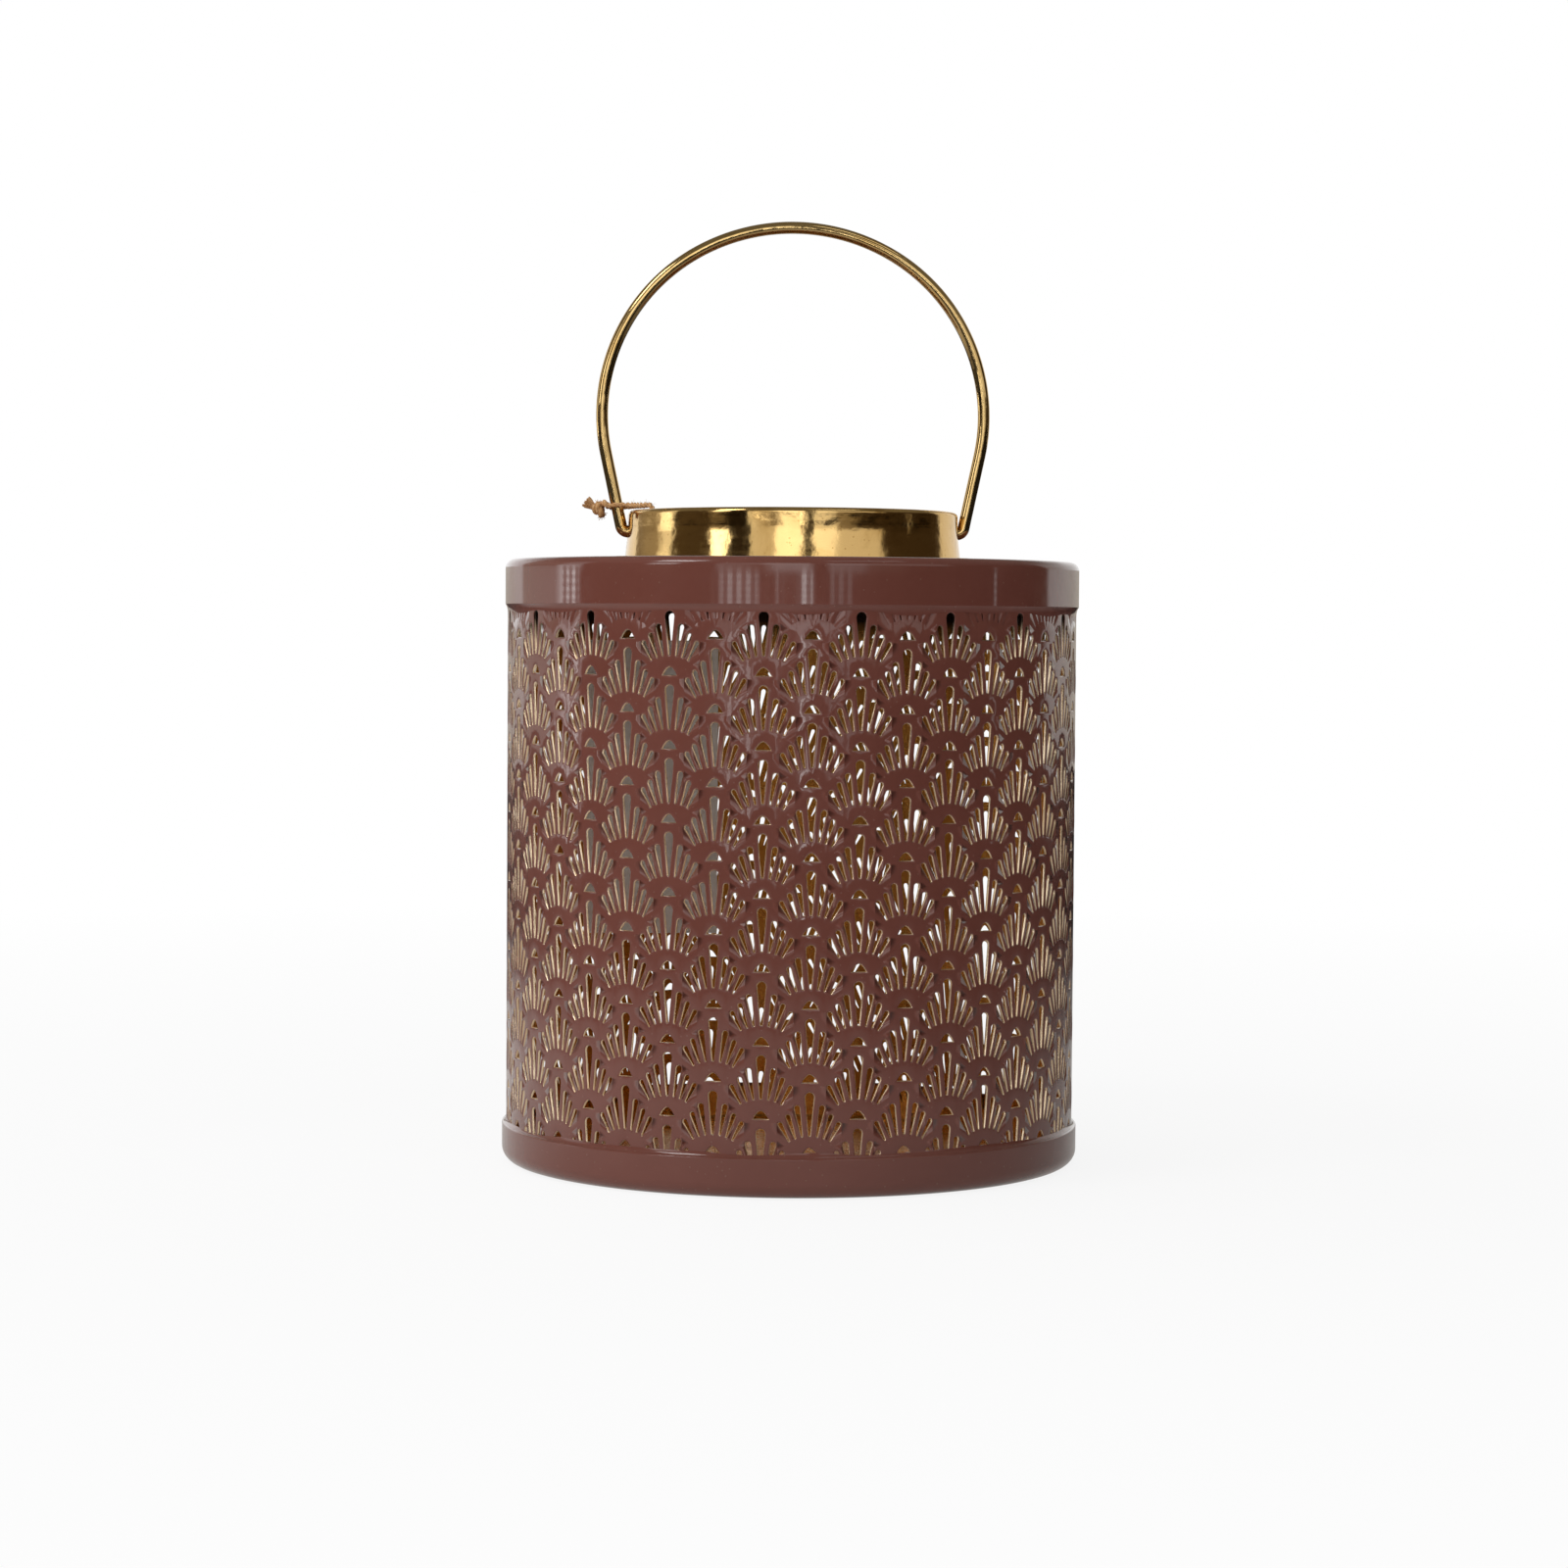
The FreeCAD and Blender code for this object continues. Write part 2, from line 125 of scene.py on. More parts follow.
def link(obj: Piece) -> Piece:
    """Puts an object in the scene and returns it."""
    bpy.context.scene.collection.objects.link(obj)
    return obj


def only(parts: list, kind: type) -> list:
    """Picks the points or the edges out of a mixed list of a shape's parts."""
    return [part for part in parts if isinstance(part, kind)]


def to_mesh(shape: Shape, name: str) -> Mesh:
    """Turns a shape into a mesh and frees it."""
    mesh = bpy.data.meshes.new(name)
    shape.to_mesh(mesh)
    shape.free()
    return mesh


def finish_piece(shape: Shape, name: str, finishes: list[Material], crease: float = 35.0,
                 weighted: bool = False) -> Piece:
    """Brings a shape drawn in millimetres to metres and makes it a smooth-shaded object.

    Args:
        shape: The mesh to finish; it is freed.
        name: The piece's name.
        finishes: Its materials, in the order of the faces' indices.
        crease: The angle in degrees past which an edge stays sharp.
        weighted: Whether its broad faces keep their own normals beside rounded corners.

    Returns:
        The new object, at the origin.
    """
    bmesh.ops.scale(shape, vec=(MM, MM, MM), verts=shape.verts[:])
    mesh = to_mesh(shape, name)
    for finish in finishes:
        mesh.materials.append(finish)
    mesh.polygons.foreach_set("use_smooth", [True] * len(mesh.polygons))
    mesh.set_sharp_from_angle(angle=math.radians(crease))
    piece = link(bpy.data.objects.new(name, mesh))
    if weighted:
        piece.modifiers.new("broad_faces", "WEIGHTED_NORMAL").keep_sharp = True
    return piece


def fit(piece: Piece, body: Body, coat: Coat, *nodes: str) -> None:
    """Fits a piece to the frame and reports it.

    Args:
        piece: The finished piece.
        body: The body it moves with.
        coat: The record's finish that it takes; not used.
        nodes: The solids that it stands for.
    """
    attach(piece, body.value)
    if nodes:
        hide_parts(*nodes)
    LOG.info("%s rides on %s, %d faces", piece.name, body.value, len(piece.data.polygons))


@dataclass(frozen=True)
class Corner:
    """A corner of a turned section, in millimetres, with the radius and the steps of its rounding."""

    out: float
    up: float
    rounding: float = 0.0
    segments: int = 4


def turned(corners: list[Corner], steps: int, closed: bool = True) -> Shape:
    """Spins a section about the lantern's axis.

    Args:
        corners: The section's corners in order.
        steps: The number of steps round.
        closed: Whether the last corner joins the first; if not, both lie on the axis.

    Returns:
        The closed, outward-facing shape.
    """
    shape = bmesh.new()
    spots = [shape.verts.new((corner.out, 0, corner.up)) for corner in corners]
    for pair in zip(spots, spots[1:] + (spots[:1] if closed else [])):
        shape.edges.new(pair)
    for spot, corner in zip(spots, corners):
        if corner.rounding:
            bmesh.ops.bevel(shape, geom=[spot], offset=corner.rounding, offset_type="OFFSET",
                            segments=corner.segments, profile=0.5, affect="VERTICES", material=-1)
    bmesh.ops.spin(shape, geom=shape.verts[:] + shape.edges[:], cent=(0, 0, 0), axis=(0, 0, 1),
                   angle=FULL_TURN, steps=steps, use_merge=True, use_duplicate=False)
    bmesh.ops.remove_doubles(shape, verts=shape.verts[:], dist=MERGE)
    bmesh.ops.recalc_face_normals(shape, faces=shape.faces[:])
    return shape


def curve_mesh(name: str, routes: list, thickness: float = 0.0, sides: int = 0, smooth: int = 0) -> Mesh:
    """Makes threads along routes: round ones with a thickness, and bare lines without.

    Args:
        name: The mesh's name.
        routes: One list of points in millimetres for each thread.
        thickness: The threads' diameter in millimetres.
        sides: How finely a thread is rounded, as a curve's bevel resolution.
        smooth: The steps to each point of a smooth route; 0 joins the points by straight lines.

    Returns:
        The threads' mesh, in millimetres.
    """
    curve = bpy.data.curves.new(name, "CURVE")
    curve.dimensions = "3D"
    curve.bevel_depth, curve.bevel_resolution = thickness / 2, sides
    curve.use_fill_caps = True
    for route in routes:
        spline = curve.splines.new("NURBS" if smooth else "POLY")
        spline.points.add(len(route) - 1)
        for place, point in zip(spline.points, route):
            place.co = (*point, 1)
        if smooth:
            curve.resolution_u = smooth
            spline.order_u = 3
            spline.use_endpoint_u = True
    carrier = bpy.data.objects.new(name, curve)
    mesh = bpy.data.meshes.new_from_object(carrier)
    bpy.data.objects.remove(carrier)
    bpy.data.curves.remove(curve)
    return mesh


def towards(turn: float, rise: float = 0.0) -> Vector:
    """Gives the direction that stands at two angles in degrees: right of the front, and up."""
    right, up = math.radians(turn), math.radians(rise)
    return Vector((math.sin(right) * math.cos(up), -math.cos(right) * math.cos(up), math.sin(up)))


def spoke(sides: tuple[Vector, Vector], angle: float) -> Vector:
    """Gives the direction at an angle from the first of two sideways directions."""
    return sides[0] * math.cos(angle) + sides[1] * math.sin(angle)


def read(items: Items, name: str, width: int = 1, kind: type = np.float32) -> np.ndarray:
    """Reads one property of all of a mesh's items.

    Args:
        items: The items.
        name: The property.
        width: How many numbers it has.
        kind: The type of its numbers.

    Returns:
        Its values, one row to an item.
    """
    values = np.empty(len(items) * width, kind)
    items.foreach_get(name, values)
    return values.reshape(-1, width) if width > 1 else values


# Finishes


@dataclass(frozen=True)
class Fade:
    """A change from start to end while what drives it goes from low to high."""

    low: float
    high: float
    start: float = 0.0
    end: float = 1.0


class Bench:
    """Lays out shader nodes in one tree."""

    def __init__(self, tree: Tree) -> None:
        """Takes the tree to work in."""
        self.tree = tree

    def add(self, kind: str, inputs: dict | None = None, **settings: str | Tree) -> bpy.types.Node:
        """Adds a node.

        Args:
            kind: The node's type without its ShaderNode prefix.
            inputs: Values or output sockets for its inputs, by name or number.
            settings: Properties of the node.

        Returns:
            The new node.
        """
        node = self.tree.nodes.new("ShaderNode" + kind)
        for key, value in settings.items():
            setattr(node, key, value)
        self.feed(node, inputs or {})
        return node

    def feed(self, node: bpy.types.Node, inputs: dict) -> None:
        """Links or sets a node's inputs.

        Args:
            node: The node.
            inputs: Values or output sockets, by the input's name or number.
        """
        for key, value in inputs.items():
            if isinstance(value, Socket):
                self.tree.links.new(value, node.inputs[key])
            else:
                node.inputs[key].default_value = value

    def ramp(self, factor: Socket, stops: list[tuple[float, Colour]]) -> Socket:
        """Adds a colour ramp.

        Args:
            factor: What drives it.
            stops: Positions and colours.

        Returns:
            Its colour output.
        """
        node = self.add("ValToRGB", {"Fac": factor})
        elements = node.color_ramp.elements
        while len(elements) < len(stops):
            elements.new(1.0)
        for element, (position, colour) in zip(elements, stops):
            element.position = position
            element.color = (*colour, 1)
        return node.outputs["Color"]

    def calc(self, operation: str, first: Socket, second: Socket | float = 0.0) -> Socket:
        """Adds a math node and returns its value."""
        return self.add("Math", {0: first, 1: second}, operation=operation).outputs[0]

    def times(self, product: Socket, *factors: Socket | float) -> Socket:
        """Multiplies values, each by a math node, and returns the last one's value.

        Args:
            product: The first value.
            factors: The others.

        Returns:
            Their product.
        """
        for factor in factors:
            product = self.calc("MULTIPLY", product, factor)
        return product

    def rays(self) -> tuple[Socket, Socket]:
        """Tells the rays that show a thing as it is, and those that mirror it."""
        path = self.add("LightPath").outputs
        return self.calc("MAXIMUM", path["Is Camera Ray"], path["Is Transmission Ray"]), path["Is Glossy Ray"]

    def fade(self, value: Socket, span: Fade) -> Socket:
        """Adds a map range node and returns its value."""
        ends = {"From Min": span.low, "From Max": span.high, "To Min": span.start, "To Max": span.end}
        return self.add("MapRange", {"Value": value, **ends}).outputs[0]

    def mix(self, factor: Socket | float, first: Socket | Colour, second: Socket | Colour,
            blend_type: str = "MIX") -> Socket:
        """Adds a mix node for colours.

        Args:
            factor: How much of the second shows.
            first: The first colour.
            second: The second colour.
            blend_type: How they are mixed.

        Returns:
            The mixed colour.
        """
        pair = [(*colour, 1) if isinstance(colour, tuple) else colour for colour in (first, second)]
        inputs = {0: factor, 6: pair[0], 7: pair[1]}
        return self.add("Mix", inputs, data_type="RGBA", blend_type=blend_type).outputs[2]


def make_group(name: str, numbers: list[str], output: str) -> tuple[Bench, Items, Socket]:
    """Starts a shader node group with a vector input, some numbers and one number output.

    Args:
        name: The group's name.
        numbers: Its number inputs.
        output: Its output.

    Returns:
        The bench in the group, its inputs by name, and the input of its end node.
    """
    tree = bpy.data.node_groups.new(name, "ShaderNodeTree")
    tree.interface.new_socket("Vector", in_out="INPUT", socket_type="NodeSocketVector")
    for number in numbers:
        tree.interface.new_socket(number, in_out="INPUT", socket_type="NodeSocketFloat")
    tree.interface.new_socket(output, in_out="OUTPUT", socket_type="NodeSocketFloat")
    start, end = tree.nodes.new("NodeGroupInput"), tree.nodes.new("NodeGroupOutput")
    return Bench(tree), start.outputs, end.inputs[output]


def make_groups() -> dict[type, Tree]:
    """Builds the node groups that the finishes share.

    Returns:
        Each group by the kind of its settings: the height of a surface that is uneven broadly and finely,
        a mask of soft-edged patches, and a mask of small specks.
    """
    numbers = ["Broad Scale", "Broad Depth", "Fine Scale", "Fine Depth"]
    ripple, given, height = make_group("ripple", numbers, "Height")
    heights = []
    for size in ("Broad", "Fine"):
        pattern = ripple.add("TexNoise", {"Vector": given["Vector"], "Scale": given[size + " Scale"],
                                          "Detail": 2.0, "Roughness": 0.5})
        heights.append(ripple.times(pattern.outputs[0], given[size + " Depth"]))
    ripple.tree.links.new(ripple.calc("ADD", *heights), height)

    blotch, given, mask = make_group("blotch", ["Scale", "Low", "High"], "Mask")
    pattern = blotch.add("TexNoise", {"Vector": given["Vector"], "Scale": given["Scale"], "Detail": 5.0,
                                      "Roughness": 0.6, "Distortion": 0.4})
    soft = blotch.add("MapRange", {"Value": pattern.outputs[0], "From Min": given["Low"],
                                   "From Max": given["High"]}, interpolation_type="SMOOTHSTEP")
    blotch.tree.links.new(soft.outputs[0], mask)

    speck, given, mask = make_group("speck", ["Scale", "Size"], "Mask")
    cells = speck.add("TexVoronoi", {"Vector": given["Vector"], "Scale": given["Scale"]})
    speck.tree.links.new(speck.calc("LESS_THAN", cells.outputs["Distance"], given["Size"]), mask)
    return {Relief: ripple.tree, Patches: blotch.tree, Specks: speck.tree}


@dataclass(frozen=True)
class Patches:
    """Soft-edged patches: their scale, and the noise at which they start and are full."""

    scale: float
    low: float
    high: float
    share: float = 1.0


@dataclass(frozen=True)
class Specks:
    """Scattered specks: their scale and size, and how strongly they show."""

    scale: float
    size: float
    share: float


@dataclass(frozen=True)
class Relief:
    """A surface's broad and fine ripples, and the bump's strength and distance in metres."""

    broad_scale: float
    broad_depth: float
    fine_scale: float
    fine_depth: float
    strength: float
    distance: float = 0.0006


class Coating(Bench):
    """Lays out one material over the object's coordinates, with the shared groups at hand."""

    def __init__(self, name: str, groups: dict[type, Tree]) -> None:
        """Starts the material.

        Args:
            name: The material's name.
            groups: The shared groups, by the kind of their settings.
        """
        self.material = bpy.data.materials.new(name)
        self.material.use_nodes = True
        super().__init__(self.material.node_tree)
        self.groups = groups
        self.place = self.add("TexCoord").outputs["Object"]

    def group(self, settings: Patches | Specks | Relief) -> Socket:
        """Places the shared group that some settings are for.

        Args:
            settings: Its numbers, which are the first values here.

        Returns:
            Its output.
        """
        node = self.add("Group", {0: self.place}, node_tree=self.groups[type(settings)])
        for socket, value in zip(node.inputs[1:], astuple(settings)):
            socket.default_value = value
        return node.outputs[0]

    def faint(self, settings: Patches | Specks) -> Socket:
        """Places a group and weakens it to its share."""
        return self.times(self.group(settings), settings.share)

    def bump(self, relief: Relief, lines: Socket | float = 0.0) -> Socket:
        """Makes the normal of a rippled surface.

        Args:
            relief: The ripples.
            lines: A height to add to them.

        Returns:
            The normal.
        """
        height = self.calc("ADD", self.group(relief), lines)
        inputs = {"Height": height, "Strength": relief.strength, "Distance": relief.distance}
        return self.add("Bump", inputs).outputs[0]


@dataclass(frozen=True)
class Finish:
    """What every finish shares: two tones in soft patches over a rippled surface."""

    name: str
    groups: dict[type, Tree]
    colour: Colour
    second: Colour
    patches: Patches
    relief: Relief

    def material(self) -> Material:
        """Builds the finish as a material.

        Returns:
            The material.
        """
        coat = Coating(self.name, self.groups)
        inputs = self.inputs(coat)
        if "Normal" not in inputs:
            inputs["Normal"] = coat.bump(self.relief)
        coat.feed(coat.tree.nodes["Principled BSDF"], inputs)
        return coat.material

    def inputs(self, coat: Coating) -> dict:
        """Gives what goes into the Principled node, by its inputs' names."""
        raise NotImplementedError

    def toned(self, coat: Coating) -> Socket:
        """Mixes the finish's two tones in patches."""
        return coat.mix(coat.group(self.patches), self.colour, self.second)


@dataclass(frozen=True)
class Enamel(Finish):
    """Glossy plum-brown stove enamel, sprayed thick, so that it ripples and pools."""

    colour: Colour = (0.166, 0.053, 0.038)
    second: Colour = (0.184, 0.062, 0.046)
    dust: Colour = (0.26, 0.14, 0.11)
    patches: Patches = Patches(28.0, 0.35, 0.75)
    specks: Specks = Specks(420.0, 0.10, 0.35)
    smears: Patches = Patches(70.0, 0.3, 0.8)
    gloss: Fade = Fade(0.0, 1.0, 0.16, 0.27)
    under_gloss: float = 0.12
    coat: float = 1.0
    coat_roughness: float = 0.03
    relief: Relief = Relief(75.0, 1.0, 420.0, 0.10, 0.55)

    def inputs(self, coat: Coating) -> dict:
        """Gives smeared gloss under a clear coat.

        Args:
            coat: The material.

        Returns:
            The Principled node's inputs, by name.
        """
        return {"Base Color": coat.mix(coat.faint(self.specks), self.toned(coat), self.dust),
                "Roughness": coat.fade(coat.group(self.smears), self.gloss),
                "Specular IOR Level": self.under_gloss, "Coat Weight": self.coat,
                "Coat Roughness": self.coat_roughness}


@dataclass(frozen=True)
class Lining(Finish):
    """Gold lacquer on the inside of the tin and on its punched edges, with painted shade near the top."""

    colour: Colour = (0.84, 0.46, 0.11)
    second: Colour = (0.52, 0.22, 0.03)
    # Painted shade: near black above this height, where the cap keeps light off the inside
    painted_shade: Colour = (0.025, 0.012, 0.006)
    painted_shade_rise: Fade = Fade(0.150, 0.157)
    patches: Patches = Patches(55.0, 0.35, 0.8)
    gloss: Fade = Fade(0.0, 1.0, 0.22, 0.36)
    metal: float = 0.8
    relief: Relief = Relief(90.0, 0.6, 900.0, 0.15, 0.4)

    def inputs(self, coat: Coating) -> dict:
        """Gives gold darkened with its height by painted shade, where the cap keeps light off the inside.

        Args:
            coat: The material.

        Returns:
            The Principled node's inputs, by name.
        """
        # Painted shade: the lacquer turns near black towards the top, under the cap
        painted_shade_rise = coat.fade(coat.add("SeparateXYZ", {0: coat.place}).outputs[2], self.painted_shade_rise)
        return {"Base Color": coat.mix(painted_shade_rise, self.toned(coat), self.painted_shade),
                "Roughness": coat.fade(coat.group(self.patches), self.gloss), "Metallic": self.metal}


@dataclass(frozen=True)
class BrassPlate(Finish):
    """Bright brass plate with fine lines left by turning or drawing, and a little tarnish."""

    line_scale: Point = (30.0, 30.0, 900.0)
    line_depth: float = 0.06
    colour: Colour = (0.82, 0.55, 0.22)
    second: Colour = (0.50, 0.28, 0.07)
    patches: Patches = Patches(60.0, 0.45, 0.85)
    pits: Specks = Specks(520.0, 0.14, 0.5)
    gloss: Fade = Fade(0.0, 1.0, 0.05, 0.15)
    metal: float = 1.0
    relief: Relief = Relief(110.0, 1.0, 700.0, 0.08, 0.35)

    def inputs(self, coat: Coating) -> dict:
        """Gives brass whose lines show in the gloss and the relief.

        Args:
            coat: The material.

        Returns:
            The Principled node's inputs, by name.
        """
        drawn = coat.add("Mapping", {"Vector": coat.place, "Scale": self.line_scale}).outputs[0]
        lines = coat.add("TexNoise", {"Vector": drawn, "Scale": 1.0, "Detail": 3.0}).outputs[0]
        return {"Base Color": coat.mix(coat.faint(self.pits), self.toned(coat), self.second),
                "Roughness": coat.fade(lines, self.gloss), "Metallic": self.metal,
                "Normal": coat.bump(self.relief, coat.times(lines, self.line_depth))}


@dataclass(frozen=True)
class Jute(Finish):
    """Unbleached jute: dull, hairy and uneven in colour along its strands."""

    colour: Colour = (0.60, 0.32, 0.12)
    second: Colour = (0.80, 0.50, 0.25)
    dark: Colour = (0.30, 0.13, 0.04)
    patches: Patches = Patches(700.0, 0.35, 0.75)
    shade: Patches = Patches(1900.0, 0.5, 0.8)
    roughness: float = 0.85
    sheen: float = 0.1
    relief: Relief = Relief(1500.0, 0.5, 6000.0, 0.4, 0.8, 0.0002)

    def inputs(self, coat: Coating) -> dict:
        """Gives small dark spots over the two tones."""
        return {"Base Color": coat.mix(coat.group(self.shade), self.toned(coat), self.dark),
                "Roughness": self.roughness, "Sheen Weight": self.sheen}


@dataclass(frozen=True)
class Card(Finish):
    """Uncoated white card with a faint fibre."""

    colour: Colour = (0.93, 0.91, 0.87)
    second: Colour = (0.80, 0.77, 0.70)
    patches: Patches = Patches(90.0, 0.3, 0.9, 0.25)
    fibres: Specks = Specks(900.0, 0.16, 0.5)
    roughness: float = 0.75
    relief: Relief = Relief(300.0, 0.3, 2500.0, 0.4, 0.5, 0.0002)

    def inputs(self, coat: Coating) -> dict:
        """Gives faint fibres over faint patches."""
        mask = coat.calc("ADD", coat.faint(self.fibres), coat.faint(self.patches))
        return {"Base Color": coat.mix(mask, self.colour, self.second), "Roughness": self.roughness}


class Finishes:
    """All the lantern's finishes, built once over shared node groups."""

    def __init__(self) -> None:
        """Builds the groups and then the materials."""
        groups = make_groups()
        self.enamel = Enamel("plum_enamel", groups).material()
        self.lining = Lining("gold_lacquer", groups).material()
        self.cut_edge = Lining("punched_edge", groups, (0.92, 0.74, 0.52), (0.74, 0.52, 0.30)).material()
        self.turned_brass = BrassPlate("turned_brass", groups).material()
        self.wire_brass = BrassPlate("drawn_brass", groups, line_scale=(240.0, 240.0, 240.0),
                                     colour=(0.70, 0.49, 0.21)).material()
        self.jute = Jute("jute", groups).material()
        self.card = Card("white_card", groups).material()


# Camera, light and floor


@dataclass(frozen=True)
class Lamp:
    """A soft rectangular lamp aimed at the lantern, in degrees right of the camera and up, and in metres."""

    name: str
    azimuth: float
    elevation: float
    distance: float
    width: float
    height: float
    level: float
    mirrored: bool = True


@dataclass
class Studio:
    """The photograph's camera, a pale floor and soft light."""

    camera_distance: float = 1.09725
    camera_height: float = 0.155
    camera_turn: float = -3.92
    camera_pitch: float = 2.384
    camera_roll: float = 0.385
    aim_left: float = 0.00205
    lens: float = 86.46
    sensor: float = 36.0
    lamps: tuple[Lamp, ...] = (
        Lamp("left_window", -54, 46, 1.9, 0.5, 0.5, 6.0),
        Lamp("right_window", 40, 56, 2.0, 0.9, 0.25, 1.25),
        Lamp("front_panel", -30, 20, 2.2, 1.0, 1.0, 0.9, False),
        Lamp("top_panel", 0, 82, 1.8, 1.0, 1.0, 0.6, False),
    )
    lamp_aim: float = 0.12
    floor_size: float = 6.0
    floor_drop: float = 0.2
    floor_colour: Colour = (0.93, 0.93, 0.93)
    floor_glow: Fade = Fade(0.2, 1.0, 0.88, 1.0)
    # The floor's glow that only mirrored rays see is painted light: a lit floor for polished surfaces to
    # reflect, with a painted shadow right under the lantern and painted shade to the right
    sheen_colour: Colour = (1, 0.95, 0.91)
    sheen_shade_aside: Fade = Fade(-0.25, 0.35, 0.9, 0.28)
    sheen_away: Fade = Fade(0.3, 0.9, 0.75, 0.06)
    sheen_shadow_under: Fade = Fade(0.085, 0.22, 0.9, 1.0)
    pane_height: float = 0.0042
    pane_bars: Fade = Fade(-0.3, 0.5, 0.3)
    slat_width: float = 3.6
    slat_gaps: Fade = Fade(-0.5, 0.4, 0.25)
    backdrop_start: float = 0.3
    above_low: Fade = Fade(0.019, 0.023)
    above_high: Fade = Fade(0.10, 0.14)
    overhead: Fade = Fade(0.30, 0.55)
    overhead_colour: Colour = (0.16, 0.15, 0.13)
    sides: Fade = Fade(-0.8, 0.8, 1.02, 0.05)
    warmth: Colour = (1.0, 1.12, 1.3)
    low_room: Room = (
        (-180, 0.35), (-150, 0.55), (-137, 0.9), (-135, 0.45), (-108, 0.8), (-106, 1.5), (-101, 4.5),
        (-95, 6.5), (-92.5, 0.05), (-33, 0.03), (-30, 0.5), (-26, 4.5), (-15, 4.0), (-12, 0.15), (-7, 0.2),
        (-6, 2.4), (-3, 0.2), (2, 0.2), (4.5, 8.0), (7.5, 7.0), (8.5, 0.1), (14, 0.1), (15, 1.6), (23, 1.3),
        (24, 0.06), (86, 0.02), (87, 2.4), (88, 0.02), (121, 0.04), (123.5, 0.9), (150, 0.5), (180, 0.35),
    )
    flare_room: Room = (
        (-180, 1.0), (-137.5, 1.0), (-136, 0.35), (-107, 0.35), (-103, 0.9), (-93, 1.0), (-90, 0.07),
        (-60, 0.06), (-57, 3.2), (-48, 3.2), (-45, 0.02), (-31, 0.02), (-29, 0.75), (-13, 0.8), (-10, 1.7),
        (6, 1.8), (9, 0.03), (13, 0.03), (15, 1.5), (28, 1.3), (32, 0.75), (62, 0.7), (68, 0.05),
        (120, 0.04), (123.5, 0.7), (180, 1.0),
    )
    high_room: Room = (
        (-180, 1.0), (-137.5, 1.0), (-136, 0.25), (-108, 0.3), (-105, 1.5), (-93, 1.8), (-90, 0.08),
        (-60, 0.06), (-57, 0.18), (-48, 0.14), (-45, 0.01), (-31, 0.01), (-29, 0.90), (-17, 0.50),
        (-12, 0.20), (-6, 1.7), (6, 1.7), (9, 0.02), (13, 0.02), (15, 1.1), (27, 0.9), (31, 0.3), (42, 0.22),
        (48, 0.06), (66, 0.05), (86, 0.03), (88, 0.3), (90, 0.03), (121, 0.05), (123.5, 0.7), (180, 1.0),
    )

    def set_camera(self) -> None:
        """Places the camera as the photograph's."""
        level = Vector((0, 0, self.camera_height))
        eye = level + towards(self.camera_turn) * self.camera_distance
        drop = Vector((0, 0, self.camera_distance * math.tan(math.radians(self.camera_pitch))))
        look = level - drop - towards(self.camera_turn + 90) * self.aim_left - eye
        data = bpy.data.cameras.new("photo_camera")
        data.lens, data.sensor_width = self.lens, self.sensor
        camera = link(bpy.data.objects.new("photo_camera", data))
        camera.location = eye
        roll = Matrix.Rotation(math.radians(self.camera_roll), 3, "Z")
        camera.rotation_euler = (look.to_track_quat("-Z", "Y").to_matrix() @ roll).to_euler()
        bpy.context.scene.camera = camera

    def wall(self, bench: Bench, round_it: Socket, room: Room) -> Socket:
        """Paints one height of the room that polished surfaces show.

        Args:
            bench: The world's bench.
            round_it: The direction, from 0 to 1 round the lantern.
            room: Its levels, by the angle from the camera.

        Returns:
            The wall's colour.
        """
        return bench.ramp(round_it, [
            (0.5 + angle / 360, tuple(min(level, level ** power) for power in self.warmth))
            for angle, level in room
        ])

    def set_world(self) -> None:
        """Lights the scene softly, with a white backdrop and a dim room for polished surfaces to show."""
        world = bpy.data.worlds.new("studio")
        bpy.context.scene.world = world
        world.use_nodes = True
        world.node_tree.nodes.clear()
        bench = Bench(world.node_tree)
        where = bench.add("TexCoord").outputs["Generated"]
        turn = (0, 0, math.radians(90 - self.camera_turn))
        facing = bench.add("Mapping", {"Vector": where, "Rotation": turn}).outputs[0]
        round_it = bench.add("TexGradient", {"Vector": facing}, gradient_type="RADIAL").outputs[1]
        across, depth, rise = bench.add("SeparateXYZ", {0: where}).outputs
        bars = bench.calc("SINE", bench.times(rise, FULL_TURN / self.pane_height))
        slats = bench.calc("SINE", bench.times(round_it, FULL_TURN * 360 / self.slat_width))
        panes = bench.times(bench.fade(bars, self.pane_bars), bench.fade(slats, self.slat_gaps))
        shown = bench.calc("MAXIMUM", panes, bench.calc("GREATER_THAN", depth, self.backdrop_start))
        low, high, flare = (self.wall(bench, round_it, room)
                            for room in (self.low_room, self.high_room, self.flare_room))
        room = bench.mix(1.0, low, shown, "MULTIPLY")
        for span, above in ((self.above_low, high), (self.above_high, flare),
                            (self.overhead, self.overhead_colour)):
            room = bench.mix(bench.fade(rise, span), room, above)
        seen, mirrored = bench.rays()
        plain = bench.mix(mirrored, bench.fade(across, self.sides), room)
        shader = bench.add("Background", {"Color": bench.mix(seen, plain, (1, 1, 1)), "Strength": 1.0})
        bench.add("OutputWorld", {0: shader.outputs[0]})

    def add_lamp(self, plan: Lamp) -> None:
        """Adds a lamp.

        Args:
            plan: Where and what it is.
        """
        data = bpy.data.lights.new(plan.name, "AREA")
        data.shape, data.size, data.size_y = "RECTANGLE", plan.width, plan.height
        data.energy = plan.level * math.pi * plan.width * plan.height
        lamp = link(bpy.data.objects.new(plan.name, data))
        away = towards(plan.azimuth + self.camera_turn, plan.elevation)
        lamp.location = away * plan.distance + Vector((0, 0, self.lamp_aim))
        lamp.rotation_euler = away.to_track_quat("Z", "Y").to_euler()
        lamp.visible_camera = False
        lamp.visible_glossy = plan.mirrored

